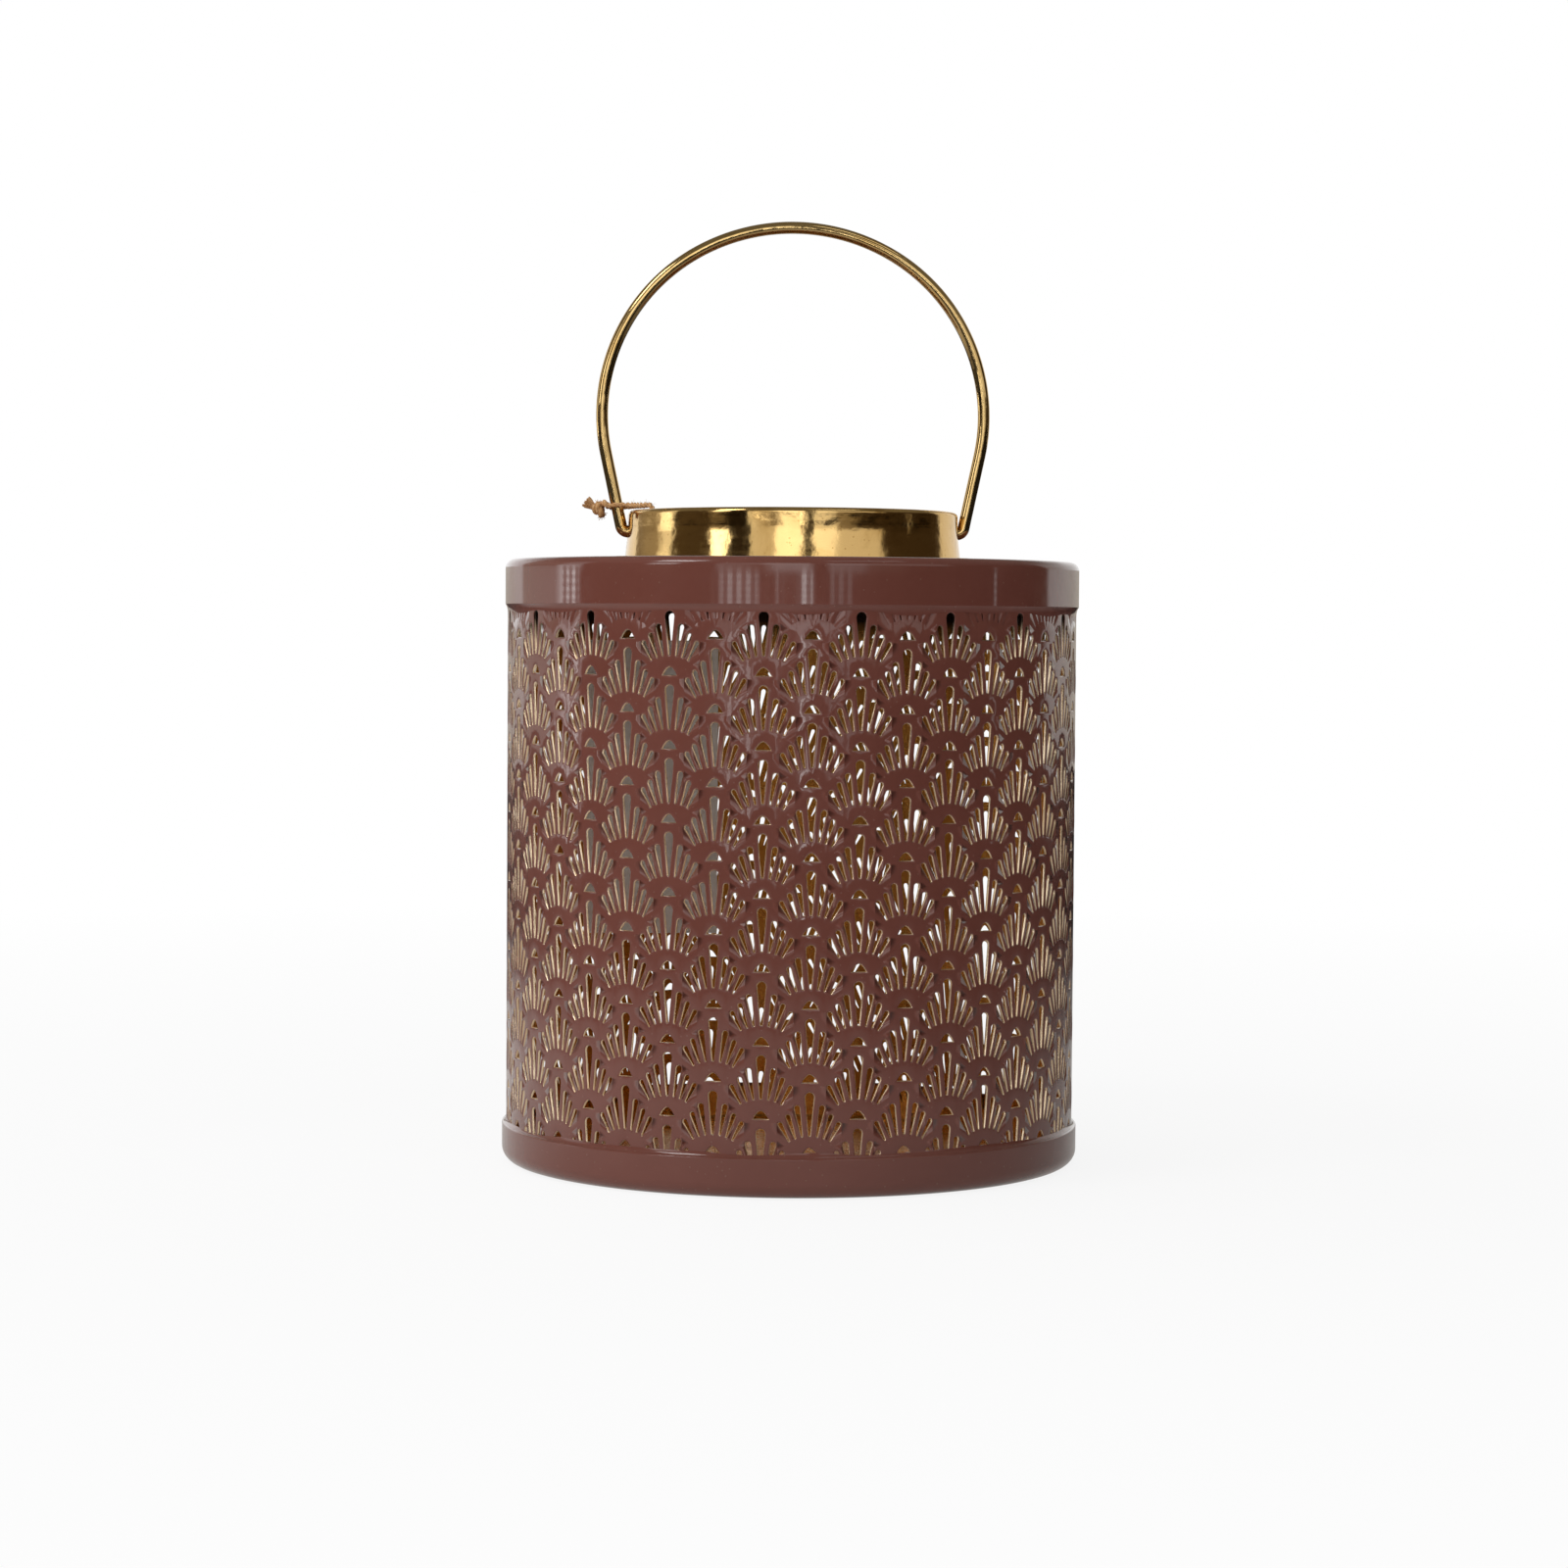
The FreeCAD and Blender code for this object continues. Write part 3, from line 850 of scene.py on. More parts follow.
    def add_floor(self) -> None:
        """Lays the pale floor, which shows white to the camera and keeps the shadow."""
        shape = bmesh.new()
        bmesh.ops.create_grid(shape, x_segments=1, y_segments=1, size=self.floor_size / 2 / MM)
        bmesh.ops.translate(shape, vec=(0, 0, -self.floor_drop), verts=shape.verts[:])
        coat = Coating("pale_floor", {})
        coat.tree.nodes.remove(coat.tree.nodes["Principled BSDF"])
        away = coat.add("VectorMath", {0: coat.place}, operation="LENGTH").outputs["Value"]
        aside = coat.add("SeparateXYZ", {0: coat.place}).outputs[0]
        seen, mirrored = coat.rays()
        matt = coat.add("BsdfDiffuse", {"Color": (*self.floor_colour, 1)}).outputs[0]
        glow = coat.add("Emission", {"Color": (1, 1, 1, 1), "Strength": 1.0}).outputs[0]
        white = coat.times(seen, coat.fade(away, self.floor_glow))
        plain = coat.add("MixShader", {0: white, 1: matt, 2: glow}).outputs[0]
        # Painted light for mirrored rays: it fades with distance, dips under the lantern as a painted shadow
        # and dims to the right as painted shade
        strength = coat.times(coat.fade(away, self.sheen_away), coat.fade(away, self.sheen_shadow_under),
                              coat.fade(aside, self.sheen_shade_aside))
        sheen = coat.add("Emission", {"Color": (*self.sheen_colour, 1), "Strength": strength}).outputs[0]
        mixed = coat.add("MixShader", {0: mirrored, 1: plain, 2: sheen}).outputs[0]
        coat.feed(coat.tree.nodes["Material Output"], {0: mixed})
        finish_piece(shape, "pale_floor", [coat.material])

    def build(self) -> None:
        """Sets up the camera, the light and the floor."""
        self.set_camera()
        self.set_world()
        for plan in self.lamps:
            self.add_lamp(plan)
        self.add_floor()
        bpy.context.scene.view_settings.view_transform = "Standard"


# Twine and tag


@dataclass(frozen=True)
class Fuzz:
    """Loose fibres on a stretch of twine: how many, how long in millimetres, and their random seed."""

    count: int
    reach: float
    seed: int


@dataclass
class Twine:
    """Two-ply jute twine: over the collar's lip, round the bail's left leg, knotted, and down to the card."""

    finishes: Finishes
    diameter: float = 1.4
    ply_pitch: float = 4.2
    ply_steps: int = 12
    ply_offset: float = 0.34
    ply_thickness: float = 0.82
    ply_sides: int = 3
    first_side: Point = (0.3, 0.5, 0.8)
    ply_sway: float = 0.12
    sway_scale: float = 0.9
    route_steps: int = 24
    outer_route: tuple[Point, ...] = (
        (-41.2, -16.8, 187.4), (-41.2, -16.8, 189.9), (-44.9, -11.9, 189.7), (-48.0, -3.1, 190.1),
        (-53.8, -2.65, 189.9), (-53.8, 2.65, 189.4), (-48.3, 2.7, 189.6), (-45.6, -4.2, 189.7),
        (-43.4, -10.4, 189.6), (-41.2, -14.0, 189.9), (-41.2, -14.0, 187.4),
    )
    inner_route: tuple[Point, ...] = (
        (-41.2, -16.8, 187.4), (-41.2, -16.8, 152.7), (-41.2, -16.8, 144.3), (-41.2, -14.0, 144.3),
        (-41.2, -14.0, 152.7), (-41.2, -14.0, 187.4),
    )
    knot_route: tuple[Point, ...] = (
        (-53.9, -1.2, 189.9), (-54.5, -1.3, 190.5), (-55.2, 0.5, 190.6), (-55.7, 1.6, 189.1),
        (-55.5, 0.8, 187.3), (-55.6, -0.9, 187.0), (-56.3, -1.6, 188.4), (-56.7, -0.5, 190.2),
        (-56.2, 1.0, 190.2), (-55.6, 1.4, 188.3), (-56.7, 0.3, 187.7), (-57.6, -0.3, 188.9),
        (-58.2, -0.1, 189.7), (-58.8, 0.1, 190.1),
    )
    knot_ply_thickness: float = 1.45
    rim_crossing: Point = (-0.0468, 0.0, 0.1897)
    leg_crossing: Point = (-0.0520, 0.0, 0.1897)
    fibre_thickness: float = 0.07
    fibre_spacing: float = 0.5
    fibre_root: float = 0.45
    fibre_lengths: tuple[float, float] = (0.5, 1.3)
    fibre_bend: float = 0.3
    fibre_path: tuple[tuple[float, float], ...] = ((0.0, 0.0), (0.35, 0.12), (0.7, 0.30), (1.0, 0.55))
    rim_fuzz: Fuzz = Fuzz(90, 1.6, 11)
    card_fuzz: Fuzz = Fuzz(80, 1.4, 23)
    knot_fuzz: Fuzz = Fuzz(70, 1.5, 5)
    tuft_fibres: int = 260
    tuft_seed: int = 8
    tuft_lengths: tuple[float, float] = (1.8, 2.7)
    tuft_thickening: float = 2.6
    tuft_root: float = 0.95
    tuft_flare: float = 0.8
    tuft_depth: float = 0.9
    tuft_aim: int = 8

    def line_of(self, route: tuple[Point, ...], name: str) -> list[Vector]:
        """Reads the smooth line of a route from its NURBS spline.

        Args:
            route: The spline's control points in millimetres.
            name: A name for the spline.

        Returns:
            The line's points in millimetres.
        """
        mesh = curve_mesh(name, [route], smooth=self.route_steps)
        line = [vertex.co.copy() for vertex in mesh.vertices]
        bpy.data.meshes.remove(mesh)
        return line

    def spread_evenly(self, line: list[Vector], step: float) -> list[Vector]:
        """Places points on a line a step apart.

        Args:
            line: The line's points.
            step: The distance between the new points.

        Returns:
            The new points.
        """
        runs = [0.0]
        for before, after in zip(line, line[1:]):
            runs.append(runs[-1] + (after - before).length)
        at = np.linspace(0, runs[-1], max(2, round(runs[-1] / step) + 1))
        return [Vector(spot) for spot in zip(*(np.interp(at, runs, axis) for axis in zip(*line)))]

    def frames_along(self, line: list[Vector]) -> list[tuple[Vector, Vector]]:
        """Carries a pair of sideways directions along a line without twisting.

        Args:
            line: The line's points.

        Returns:
            Two directions at each point, square to the line and to each other.
        """
        side = Vector(self.first_side)
        frames = []
        for before, after in zip([line[0], *line], [*line[1:], line[-1]]):
            ahead = (after - before).normalized()
            side = (side - ahead * side.dot(ahead)).normalized()
            frames.append((side.copy(), ahead.cross(side)))
        return frames

    def lay_plies(self, line: list[Vector]) -> list[list[Vector]]:
        """Winds two plies about a line.

        Args:
            line: The twine's centreline in millimetres.

        Returns:
            Each ply's points.
        """
        points = self.spread_evenly(line, self.ply_pitch / self.ply_steps)
        frames = self.frames_along(points)
        plies = []
        for start in (0.0, math.pi):
            ply, run = [], 0.0
            for before, point, sides in zip([points[0], *points], points, frames):
                run += (point - before).length
                sway = self.ply_sway * noise.noise(point * self.sway_scale + Vector((start, 0, 0)))
                out = spoke(sides, start + FULL_TURN * run / self.ply_pitch)
                ply.append(point + out * self.ply_offset * (1 + sway))
            plies.append(ply)
        return plies

    def fray(self, line: list[Vector], fuzz: Fuzz) -> list[list[Vector]]:
        """Lets loose fibres stand off a line.

        Args:
            line: The twine's centreline.
            fuzz: The fibres.

        Returns:
            Each fibre's points.
        """
        draw = random.Random(fuzz.seed)
        points = self.spread_evenly(line, self.fibre_spacing)
        frames = self.frames_along(points)
        fibres = []
        for _ in range(fuzz.count):
            index = draw.randrange(1, len(points) - 1)
            out = spoke(frames[index], draw.uniform(0, FULL_TURN))
            ahead = (points[index + 1] - points[index - 1]).normalized() * draw.choice((-1, 1))
            long = fuzz.reach * draw.uniform(*self.fibre_lengths)
            bend = Vector(draw.uniform(-1, 1) for _ in range(3)) * self.fibre_bend
            fibres.append([points[index] + out * (self.fibre_root + long * lift)
                           + (ahead * (1 - lift) + bend * lift) * long * step
                           for step, lift in self.fibre_path])
        return fibres

    def tuft(self, root: Vector, along: Vector) -> list[list[Vector]]:
        """Spreads the cut end into a short brush of fibres.

        Args:
            root: Where the fibres start.
            along: Which way they point.

        Returns:
            Each fibre's points.
        """
        draw = random.Random(self.tuft_seed)
        side = along.orthogonal().normalized()
        sides = side, along.cross(side)
        fibres = []
        for _ in range(self.tuft_fibres):
            out, share = spoke(sides, draw.uniform(0, FULL_TURN)), math.sqrt(draw.random())
            long = draw.uniform(*self.tuft_lengths)
            fibres.append([root + out * share * (self.tuft_root + self.tuft_flare * step)
                           + along * (long * step - self.tuft_depth) for step, _ in self.fibre_path])
        return fibres

    def piece(self, name: str, lines: list[list[Vector]], thickness: float, sides: int = 0) -> Piece:
        """Makes threads a finished piece of jute.

        Args:
            name: The piece's name.
            lines: Each thread's points.
            thickness: The threads' diameter.
            sides: How finely they are rounded.

        Returns:
            The piece.
        """
        shape = bmesh.new()
        mesh = curve_mesh(name + "_threads", lines, thickness, sides)
        shape.from_mesh(mesh)
        bpy.data.meshes.remove(mesh)
        return finish_piece(shape, name, [self.finishes.jute], crease=60)

    def stretch(self, name: str, route: tuple[Point, ...], fuzz: Fuzz) -> tuple[list[Vector], Piece, Piece]:
        """Makes a stretch of twine and the fibres that stand off it.

        Args:
            name: The piece's name.
            route: Its control points in millimetres.
            fuzz: Its loose fibres.

        Returns:
            Its centreline, its piece and its fibres' piece.
        """
        line = self.line_of(route, name + "_route")
        cord = self.piece(name, self.lay_plies(line), self.ply_thickness, self.ply_sides)
        hairs = self.piece(name + "_hairs", self.fray(line, fuzz), self.fibre_thickness)
        return line, cord, hairs

    def build_outer(self) -> None:
        """Makes the stretch from the lip round the bail's leg, with its knot and cut end."""
        line, cord, hairs = self.stretch("twine_over_rim", self.outer_route, self.rim_fuzz)
        knot_line = self.line_of(self.knot_route, "knot_route")
        knot = self.piece("knot_turns", self.lay_plies(knot_line), self.knot_ply_thickness, self.ply_sides)
        along = (knot_line[-1] - knot_line[-self.tuft_aim]).normalized()
        loose = self.fray(knot_line, self.knot_fuzz) + self.tuft(knot_line[-1], along)
        brush = self.piece("knot_cut_end", loose, self.fibre_thickness * self.tuft_thickening)
        for part in (cord, hairs):
            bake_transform(part)
        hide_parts("twine_outer")
        fit(knot, Body.BAIL, Coat.TWINE, "twine_knot")
        fit(brush, Body.BAIL, Coat.TWINE)

    def build_inner(self) -> None:
        """Makes the two strands that hang to the card."""
        line, cord, hairs = self.stretch("twine_to_card", self.inner_route, self.card_fuzz)
        fit(cord, Body.TAG, Coat.TWINE, "twine_inner")
        fit(hairs, Body.TAG, Coat.TWINE)

    def dress_card(self) -> None:
        """Gives the card its finish."""
        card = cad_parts["hang_tag"]
        card.data.materials.clear()
        card.data.materials.append(self.finishes.card)
        LOG.info("%s dressed", card.name)

    def build(self) -> None:
        """Makes all the twine and dresses the card."""
        self.build_outer()
        self.build_inner()
        self.dress_card()


# Pierced shell


@dataclass(frozen=True)
class Ray:
    """One pierced ray of a fan, in millimetres and degrees."""

    turn: float
    reach: float
    outer_width: float
    inner_width: float
    segments: int = 8


@dataclass
class PiercedShell:
    """The pierced sheet: fans in columns half a row apart, rolled to a tube and lapped at one side."""

    finishes: Finishes
    radius: float = SHELL_RADIUS
    sheet: float = 0.6
    bottom: float = 2.0
    top: float = 171.7
    lap: float = 12.0
    lap_gap: float = 0.1
    tuck_run: float = 3.0
    columns: int = COLUMNS
    fan_columns: int = 18
    fan_rows: int = 8
    row_pitch: float = 20.0
    front_top: float = 149.3
    centre_drop: float = 23.7
    inner_reach: float = 11.5
    rays: tuple[Ray, ...] = (
        Ray(0.0, 23.7, 2.8, 0.85, 12), Ray(10.0, 20.5, 1.8, 0.75), Ray(19.0, 18.7, 1.5, 0.75),
        Ray(28.2, 17.6, 1.4, 0.8),
    )
    arch_top: float = 15.1
    arch_foot: float = 17.6
    arch_half: float = 2.3
    arch_pinch: float = 0.36
    arch_segments: int = 12
    web_top: float = 1.1
    web: tuple[tuple[float, float], ...] = (
        (2.6, 0.0), (4.6, -2.4), (7.0, -4.8), (9.7, -7.2), (10.7, -8.5),
    )
    strips: int = 3
    strip_slack: float = 0.0001
    edge_round: float = 0.32
    edge_drop: float = 0.11
    burr: float = 0.2
    dent: float = 0.2
    dent_slope: float = 0.25
    seam_columns: float = SEAM_COLUMNS
    smooth_share: float = 0.9
    wall_share: float = 0.5
    pillow_share: float = 0.35

    @property
    def half_pitch(self) -> float:
        """The distance round the tube between neighbouring columns of fans."""
        return FULL_TURN * self.radius / self.columns

    @property
    def half_width(self) -> float:
        """Half of the sheet's width before it is rolled."""
        return math.pi * self.radius + self.lap / 2

    def cut_flat(self, shape: Shape, spot: Point, facing: Point, clear: bool = True,
                 slack: float = MERGE) -> None:
        """Cuts a shape along a plane and, if asked, clears what lies before it."""
        bmesh.ops.bisect_plane(shape, geom=shape.verts[:] + shape.edges[:] + shape.faces[:], dist=slack,
                               plane_co=spot, plane_no=facing, clear_outer=clear)

    def add_outline(self, tile: Shape) -> None:
        """Draws the middle of the web round one fan, which fits its neighbours all round.

        Args:
            tile: The tile to draw in.
        """
        half, drop = self.half_pitch, self.row_pitch / 2
        path = [(0.0, self.web_top), *self.web, (half, self.web_top - drop)]
        spots = [tile.verts.new((across, up, 0)) for across, up in path]
        edges = [tile.edges.new(pair) for pair in zip(spots, spots[1:])]
        below = bmesh.ops.duplicate(tile, geom=spots + edges)["geom"]
        bmesh.ops.translate(tile, vec=(-half, -drop, 0), verts=only(below, Vert))
        other = bmesh.ops.duplicate(tile, geom=tile.verts[:] + tile.edges[:])["geom"]
        bmesh.ops.scale(tile, vec=(-1, 1, 1), verts=only(other, Vert))
        bmesh.ops.remove_doubles(tile, verts=tile.verts[:], dist=MERGE)

    def add_ray(self, tile: Shape, ray: Ray, side: int) -> list[Vert]:
        """Draws one ray as a circle drawn out into a taper.

        Args:
            tile: The tile to draw in.
            ray: The ray.
            side: 1 for the right and -1 for the left.

        Returns:
            The ray's points.
        """
        ring = bmesh.ops.create_circle(tile, cap_ends=False, radius=1, segments=ray.segments)["verts"]
        outer = [vert for vert in ring if vert.co.y > -MERGE]
        inner = [vert for vert in ring if vert.co.y <= -MERGE]
        for part, width, up in (
            (outer, ray.outer_width, ray.reach - ray.outer_width / 2),
            (inner, ray.inner_width, self.inner_reach + ray.inner_width / 2),
        ):
            bmesh.ops.scale(tile, vec=(width / 2, width / 2, 1), verts=part)
            bmesh.ops.translate(tile, vec=(0, up, 0), verts=part)
        turn = Matrix.Rotation(-math.radians(ray.turn * side), 3, "Z")
        bmesh.ops.rotate(tile, cent=(0, 0, 0), matrix=turn, verts=ring)
        bmesh.ops.translate(tile, vec=(0, -self.centre_drop, 0), verts=ring)
        return ring

    def add_arch(self, tile: Shape) -> None:
        """Draws the small arch under a fan: a round-topped triangle.

        Args:
            tile: The tile to draw in.
        """
        ring = bmesh.ops.create_circle(tile, cap_ends=False, radius=1, segments=self.arch_segments)["verts"]
        spare = [vert for vert in ring if vert.co.y < -MERGE]
        arch = [vert for vert in ring if vert.co.y >= -MERGE]
        bmesh.ops.delete(tile, geom=spare, context="VERTS")
        tile.edges.new([vert for vert in arch if abs(vert.co.y) < MERGE])
        for vert in arch:
            vert.co.x *= 1 - self.arch_pinch * vert.co.y
        bmesh.ops.scale(tile, vec=(self.arch_half, self.arch_foot - self.arch_top, 1), verts=arch)
        bmesh.ops.translate(tile, vec=(0, -self.arch_foot, 0), verts=arch)

    def make_tile(self, kind: TileKind) -> Mesh:
        """Makes one flat tile of the pattern, with its fan's middle ray ending at the origin.

        Args:
            kind: What is pressed into it.

        Returns:
            The tile's mesh.
        """
        tile = bmesh.new()
        self.add_outline(tile)
        rings = []
        if kind is not TileKind.PLAIN:
            self.add_arch(tile)
            for ray in self.rays:
                for side in ((1, -1) if ray.turn else (1,)):
                    rings.append(self.add_ray(tile, ray, side))
        bmesh.ops.triangle_fill(tile, use_beauty=True, use_dissolve=False, edges=tile.edges[:],
                                normal=(0, 0, 1))
        if kind is TileKind.EDGE_FAN:
            for ring in rings:
                self.press_dent(tile, ring)
        for strip in range(1 - self.strips, self.strips):
            self.cut_flat(tile, (strip * self.half_pitch / self.strips, 0, 0), (1, 0, 0), False,
                          self.strip_slack)
        return to_mesh(tile, "tile_" + kind.value)

    def press_dent(self, tile: Shape, ring: list[Vert]) -> None:
        """Closes a ray's outline with a shallow dent, where paint has filled it.

        Args:
            tile: The tile.
            ring: The ray's points.
        """
        edges = {edge for vert in ring for edge in vert.link_edges if edge.other_vert(vert) in ring}
        faces = bmesh.ops.contextual_create(tile, geom=list(edges))["faces"]
        bmesh.ops.inset_region(tile, faces=faces, use_boundary=True, use_even_offset=True,
                               thickness=self.dent_slope, depth=-self.dent)

    def lay_out(self, meshes: list[Mesh], moves: list[Point]) -> Shape:
        """Puts moved copies of meshes together in one shape.

        Args:
            meshes: The meshes.
            moves: How far each goes.

        Returns:
            The shape.
        """
        shape = bmesh.new()
        for mesh, move in zip(meshes, moves):
            first = len(shape.verts)
            shape.from_mesh(mesh)
            shape.verts.ensure_lookup_table()
            bmesh.ops.translate(shape, vec=move, verts=shape.verts[first:])
        return shape

    def make_column(self, lower: bool, kinds: list[TileKind], tiles: dict[TileKind, Mesh]) -> Mesh:
        """Stacks tiles to one column.

        Args:
            lower: Whether the column has the front column's heights, and not those half a row higher.
            kinds: Its tiles from the top down, starting with the one whose top is nearest above the sheet.
            tiles: The tiles' meshes.

        Returns:
            The column's mesh.
        """
        highest = self.front_top + 2 * self.row_pitch - (0 if lower else self.row_pitch / 2)
        moves = [(0, highest - level * self.row_pitch, 0) for level in range(len(kinds))]
        return to_mesh(self.lay_out([tiles[kind] for kind in kinds], moves), "column")

    def make_flat_sheet(self) -> Shape:
        """Makes the whole pierced sheet before it is rolled: across along X, up along Y, outside towards Z.

        Returns:
            The sheet as one skin.
        """
        tiles = {kind: self.make_tile(kind) for kind in TileKind}
        fans, edge, plain = [TileKind.FAN], [TileKind.EDGE_FAN], [TileKind.PLAIN]
        rows = self.fan_rows
        columns = {
            (True, True): self.make_column(True, plain + edge + fans * (rows - 1) + plain * 2, tiles),
            (True, False): self.make_column(True, plain * (rows + 3), tiles),
            (False, True): self.make_column(False, plain + fans * rows + plain, tiles),
            (False, False): self.make_column(False, plain * (rows + 2), tiles),
        }
        reach = self.columns // 2 + 2
        places = range(-reach, reach + 1)
        sheet = self.lay_out([columns[(place % 2 == 0, abs(place) <= self.fan_columns)] for place in places],
                             [(place * self.half_pitch, 0, 0) for place in places])
        bmesh.ops.remove_doubles(sheet, verts=sheet.verts[:], dist=MERGE)
        self.cut_flat(sheet, (0, self.top, 0), (0, 1, 0))
        self.cut_flat(sheet, (0, self.bottom, 0), (0, -1, 0))
        self.cut_flat(sheet, (self.half_width, 0, 0), (1, 0, 0))
        self.cut_flat(sheet, (-self.half_width, 0, 0), (-1, 0, 0))
        for mesh in [*tiles.values(), *columns.values()]:
            bpy.data.meshes.remove(mesh)
        return sheet

    def roll(self, sheet: Shape) -> None:
        """Rolls the flat sheet to a tube, with one end tucked under the other at the seam.

        Args:
            sheet: The sheet, which is changed.
        """
        tuck_start = math.pi * self.radius - self.lap / 2 - self.tuck_run
        for vert in sheet.verts:
            across, up, out = vert.co
            tuck = min(1.0, max(0.0, (across - tuck_start) / self.tuck_run)) * (self.sheet + self.lap_gap)
            angle = across / self.radius + self.seam_columns * self.half_pitch / self.radius - math.pi
            reach = self.radius - self.edge_drop + out - tuck
            vert.co = (reach * math.sin(angle), -reach * math.cos(angle), up)

    def press_burrs(self, backs: list[Vert]) -> None:
        """Narrows the holes towards the inside, where the punch left a burr.

        Args:
            backs: The points of the sheet's inner skin.
        """
        inner = set(backs)
        rims = {vert for vert in backs if any(edge.other_vert(vert) not in inner for edge in vert.link_edges)}
        moves = {}
        for vert in rims:
            neighbours = [edge.other_vert(vert) for edge in vert.link_edges]
            away = [vert.co - other.co for other in neighbours if other in inner and other not in rims]
            if away:
                moves[vert] = sum(away, Vector()).normalized() * self.burr
        for vert, move in moves.items():
            vert.co += move

    def shade(self, mesh: Mesh) -> None:
        """Sets the mesh's normals: those of a true cylinder on the skins, and rounded at the painted edges.

        Args:
            mesh: The rolled shell's mesh.
        """
        corners = read(mesh.loops, "vertex_index", kind=np.int32)
        counts = read(mesh.polygons, "loop_total", kind=np.int32)
        facing = np.repeat(read(mesh.polygons, "normal", 3), counts, axis=0)
        place = read(mesh.vertices, "co", 3)
        soft = read(mesh.vertex_normals, "vector", 3)[corners]
        radial = place * (1, 1, 0)
        radial = (radial / np.linalg.norm(radial, axis=1, keepdims=True))[corners]
        along = (facing * radial).sum(axis=1)
        least = np.ones(len(place))
        np.minimum.at(least, corners, along)
        outside = along > self.smooth_share
        inside = along < -self.smooth_share
        front = np.linalg.norm(place[corners, :2], axis=1) > (self.radius - self.sheet / 2) * MM
        painted = (least[corners] < self.smooth_share) & ~inside & front
        pillow = radial + (soft - radial) * self.pillow_share
        normals = facing.copy()
        normals[outside] = pillow[outside] / np.linalg.norm(pillow[outside], axis=1, keepdims=True)
        normals[inside] = -radial[inside]
        normals[painted] = soft[painted]
        mesh.normals_split_custom_set(normals.tolist())

    def build(self) -> None:
        """Makes the shell."""
        sheet = self.make_flat_sheet()
        bmesh.ops.inset_region(sheet, faces=sheet.faces[:], use_boundary=True, use_even_offset=True,
                               thickness=self.edge_round, depth=self.edge_drop)
        inner = bmesh.ops.extrude_face_region(sheet, geom=sheet.faces[:], use_keep_orig=True)["geom"]
        backs = only(inner, Vert)
        bmesh.ops.scale(sheet, vec=(1, 1, 0), verts=backs)
        bmesh.ops.translate(sheet, vec=(0, 0, self.edge_drop - self.sheet), verts=backs)
        self.press_burrs(backs)
        for face in sheet.faces:
            spot = face.calc_center_median()
            if abs(face.normal.z) < self.wall_share and abs(spot.x) < self.half_width - self.edge_round:
                face.material_index = Skin.CUT
            elif spot.z < -self.sheet / 2:
                face.material_index = Skin.LINED
        bmesh.ops.recalc_face_normals(sheet, faces=sheet.faces[:])
        self.roll(sheet)
        bmesh.ops.triangulate(sheet, faces=sheet.faces[:])
        LOG.info("shell has %d triangles", len(sheet.faces))
        coats = [self.finishes.enamel, self.finishes.lining, self.finishes.cut_edge]
        shell = finish_piece(sheet, "pierced_shell", coats, crease=180)
        self.shade(shell.data)
        fit(shell, Body.ROOT, Coat.ENAMEL, "body_shell")


# Pan, cap and the paint between


@dataclass(frozen=True)
class Pool:
    """Paint that has pooled round the sheet, in millimetres.

    It clings at a height, reaches out there, and runs on by a drop, down if negative. Its thin edge sways
    with the columns of fans and is rough.
    """

    name: str
    seat: float
    reach: float
    drop: float
    sway: float
    rough: float


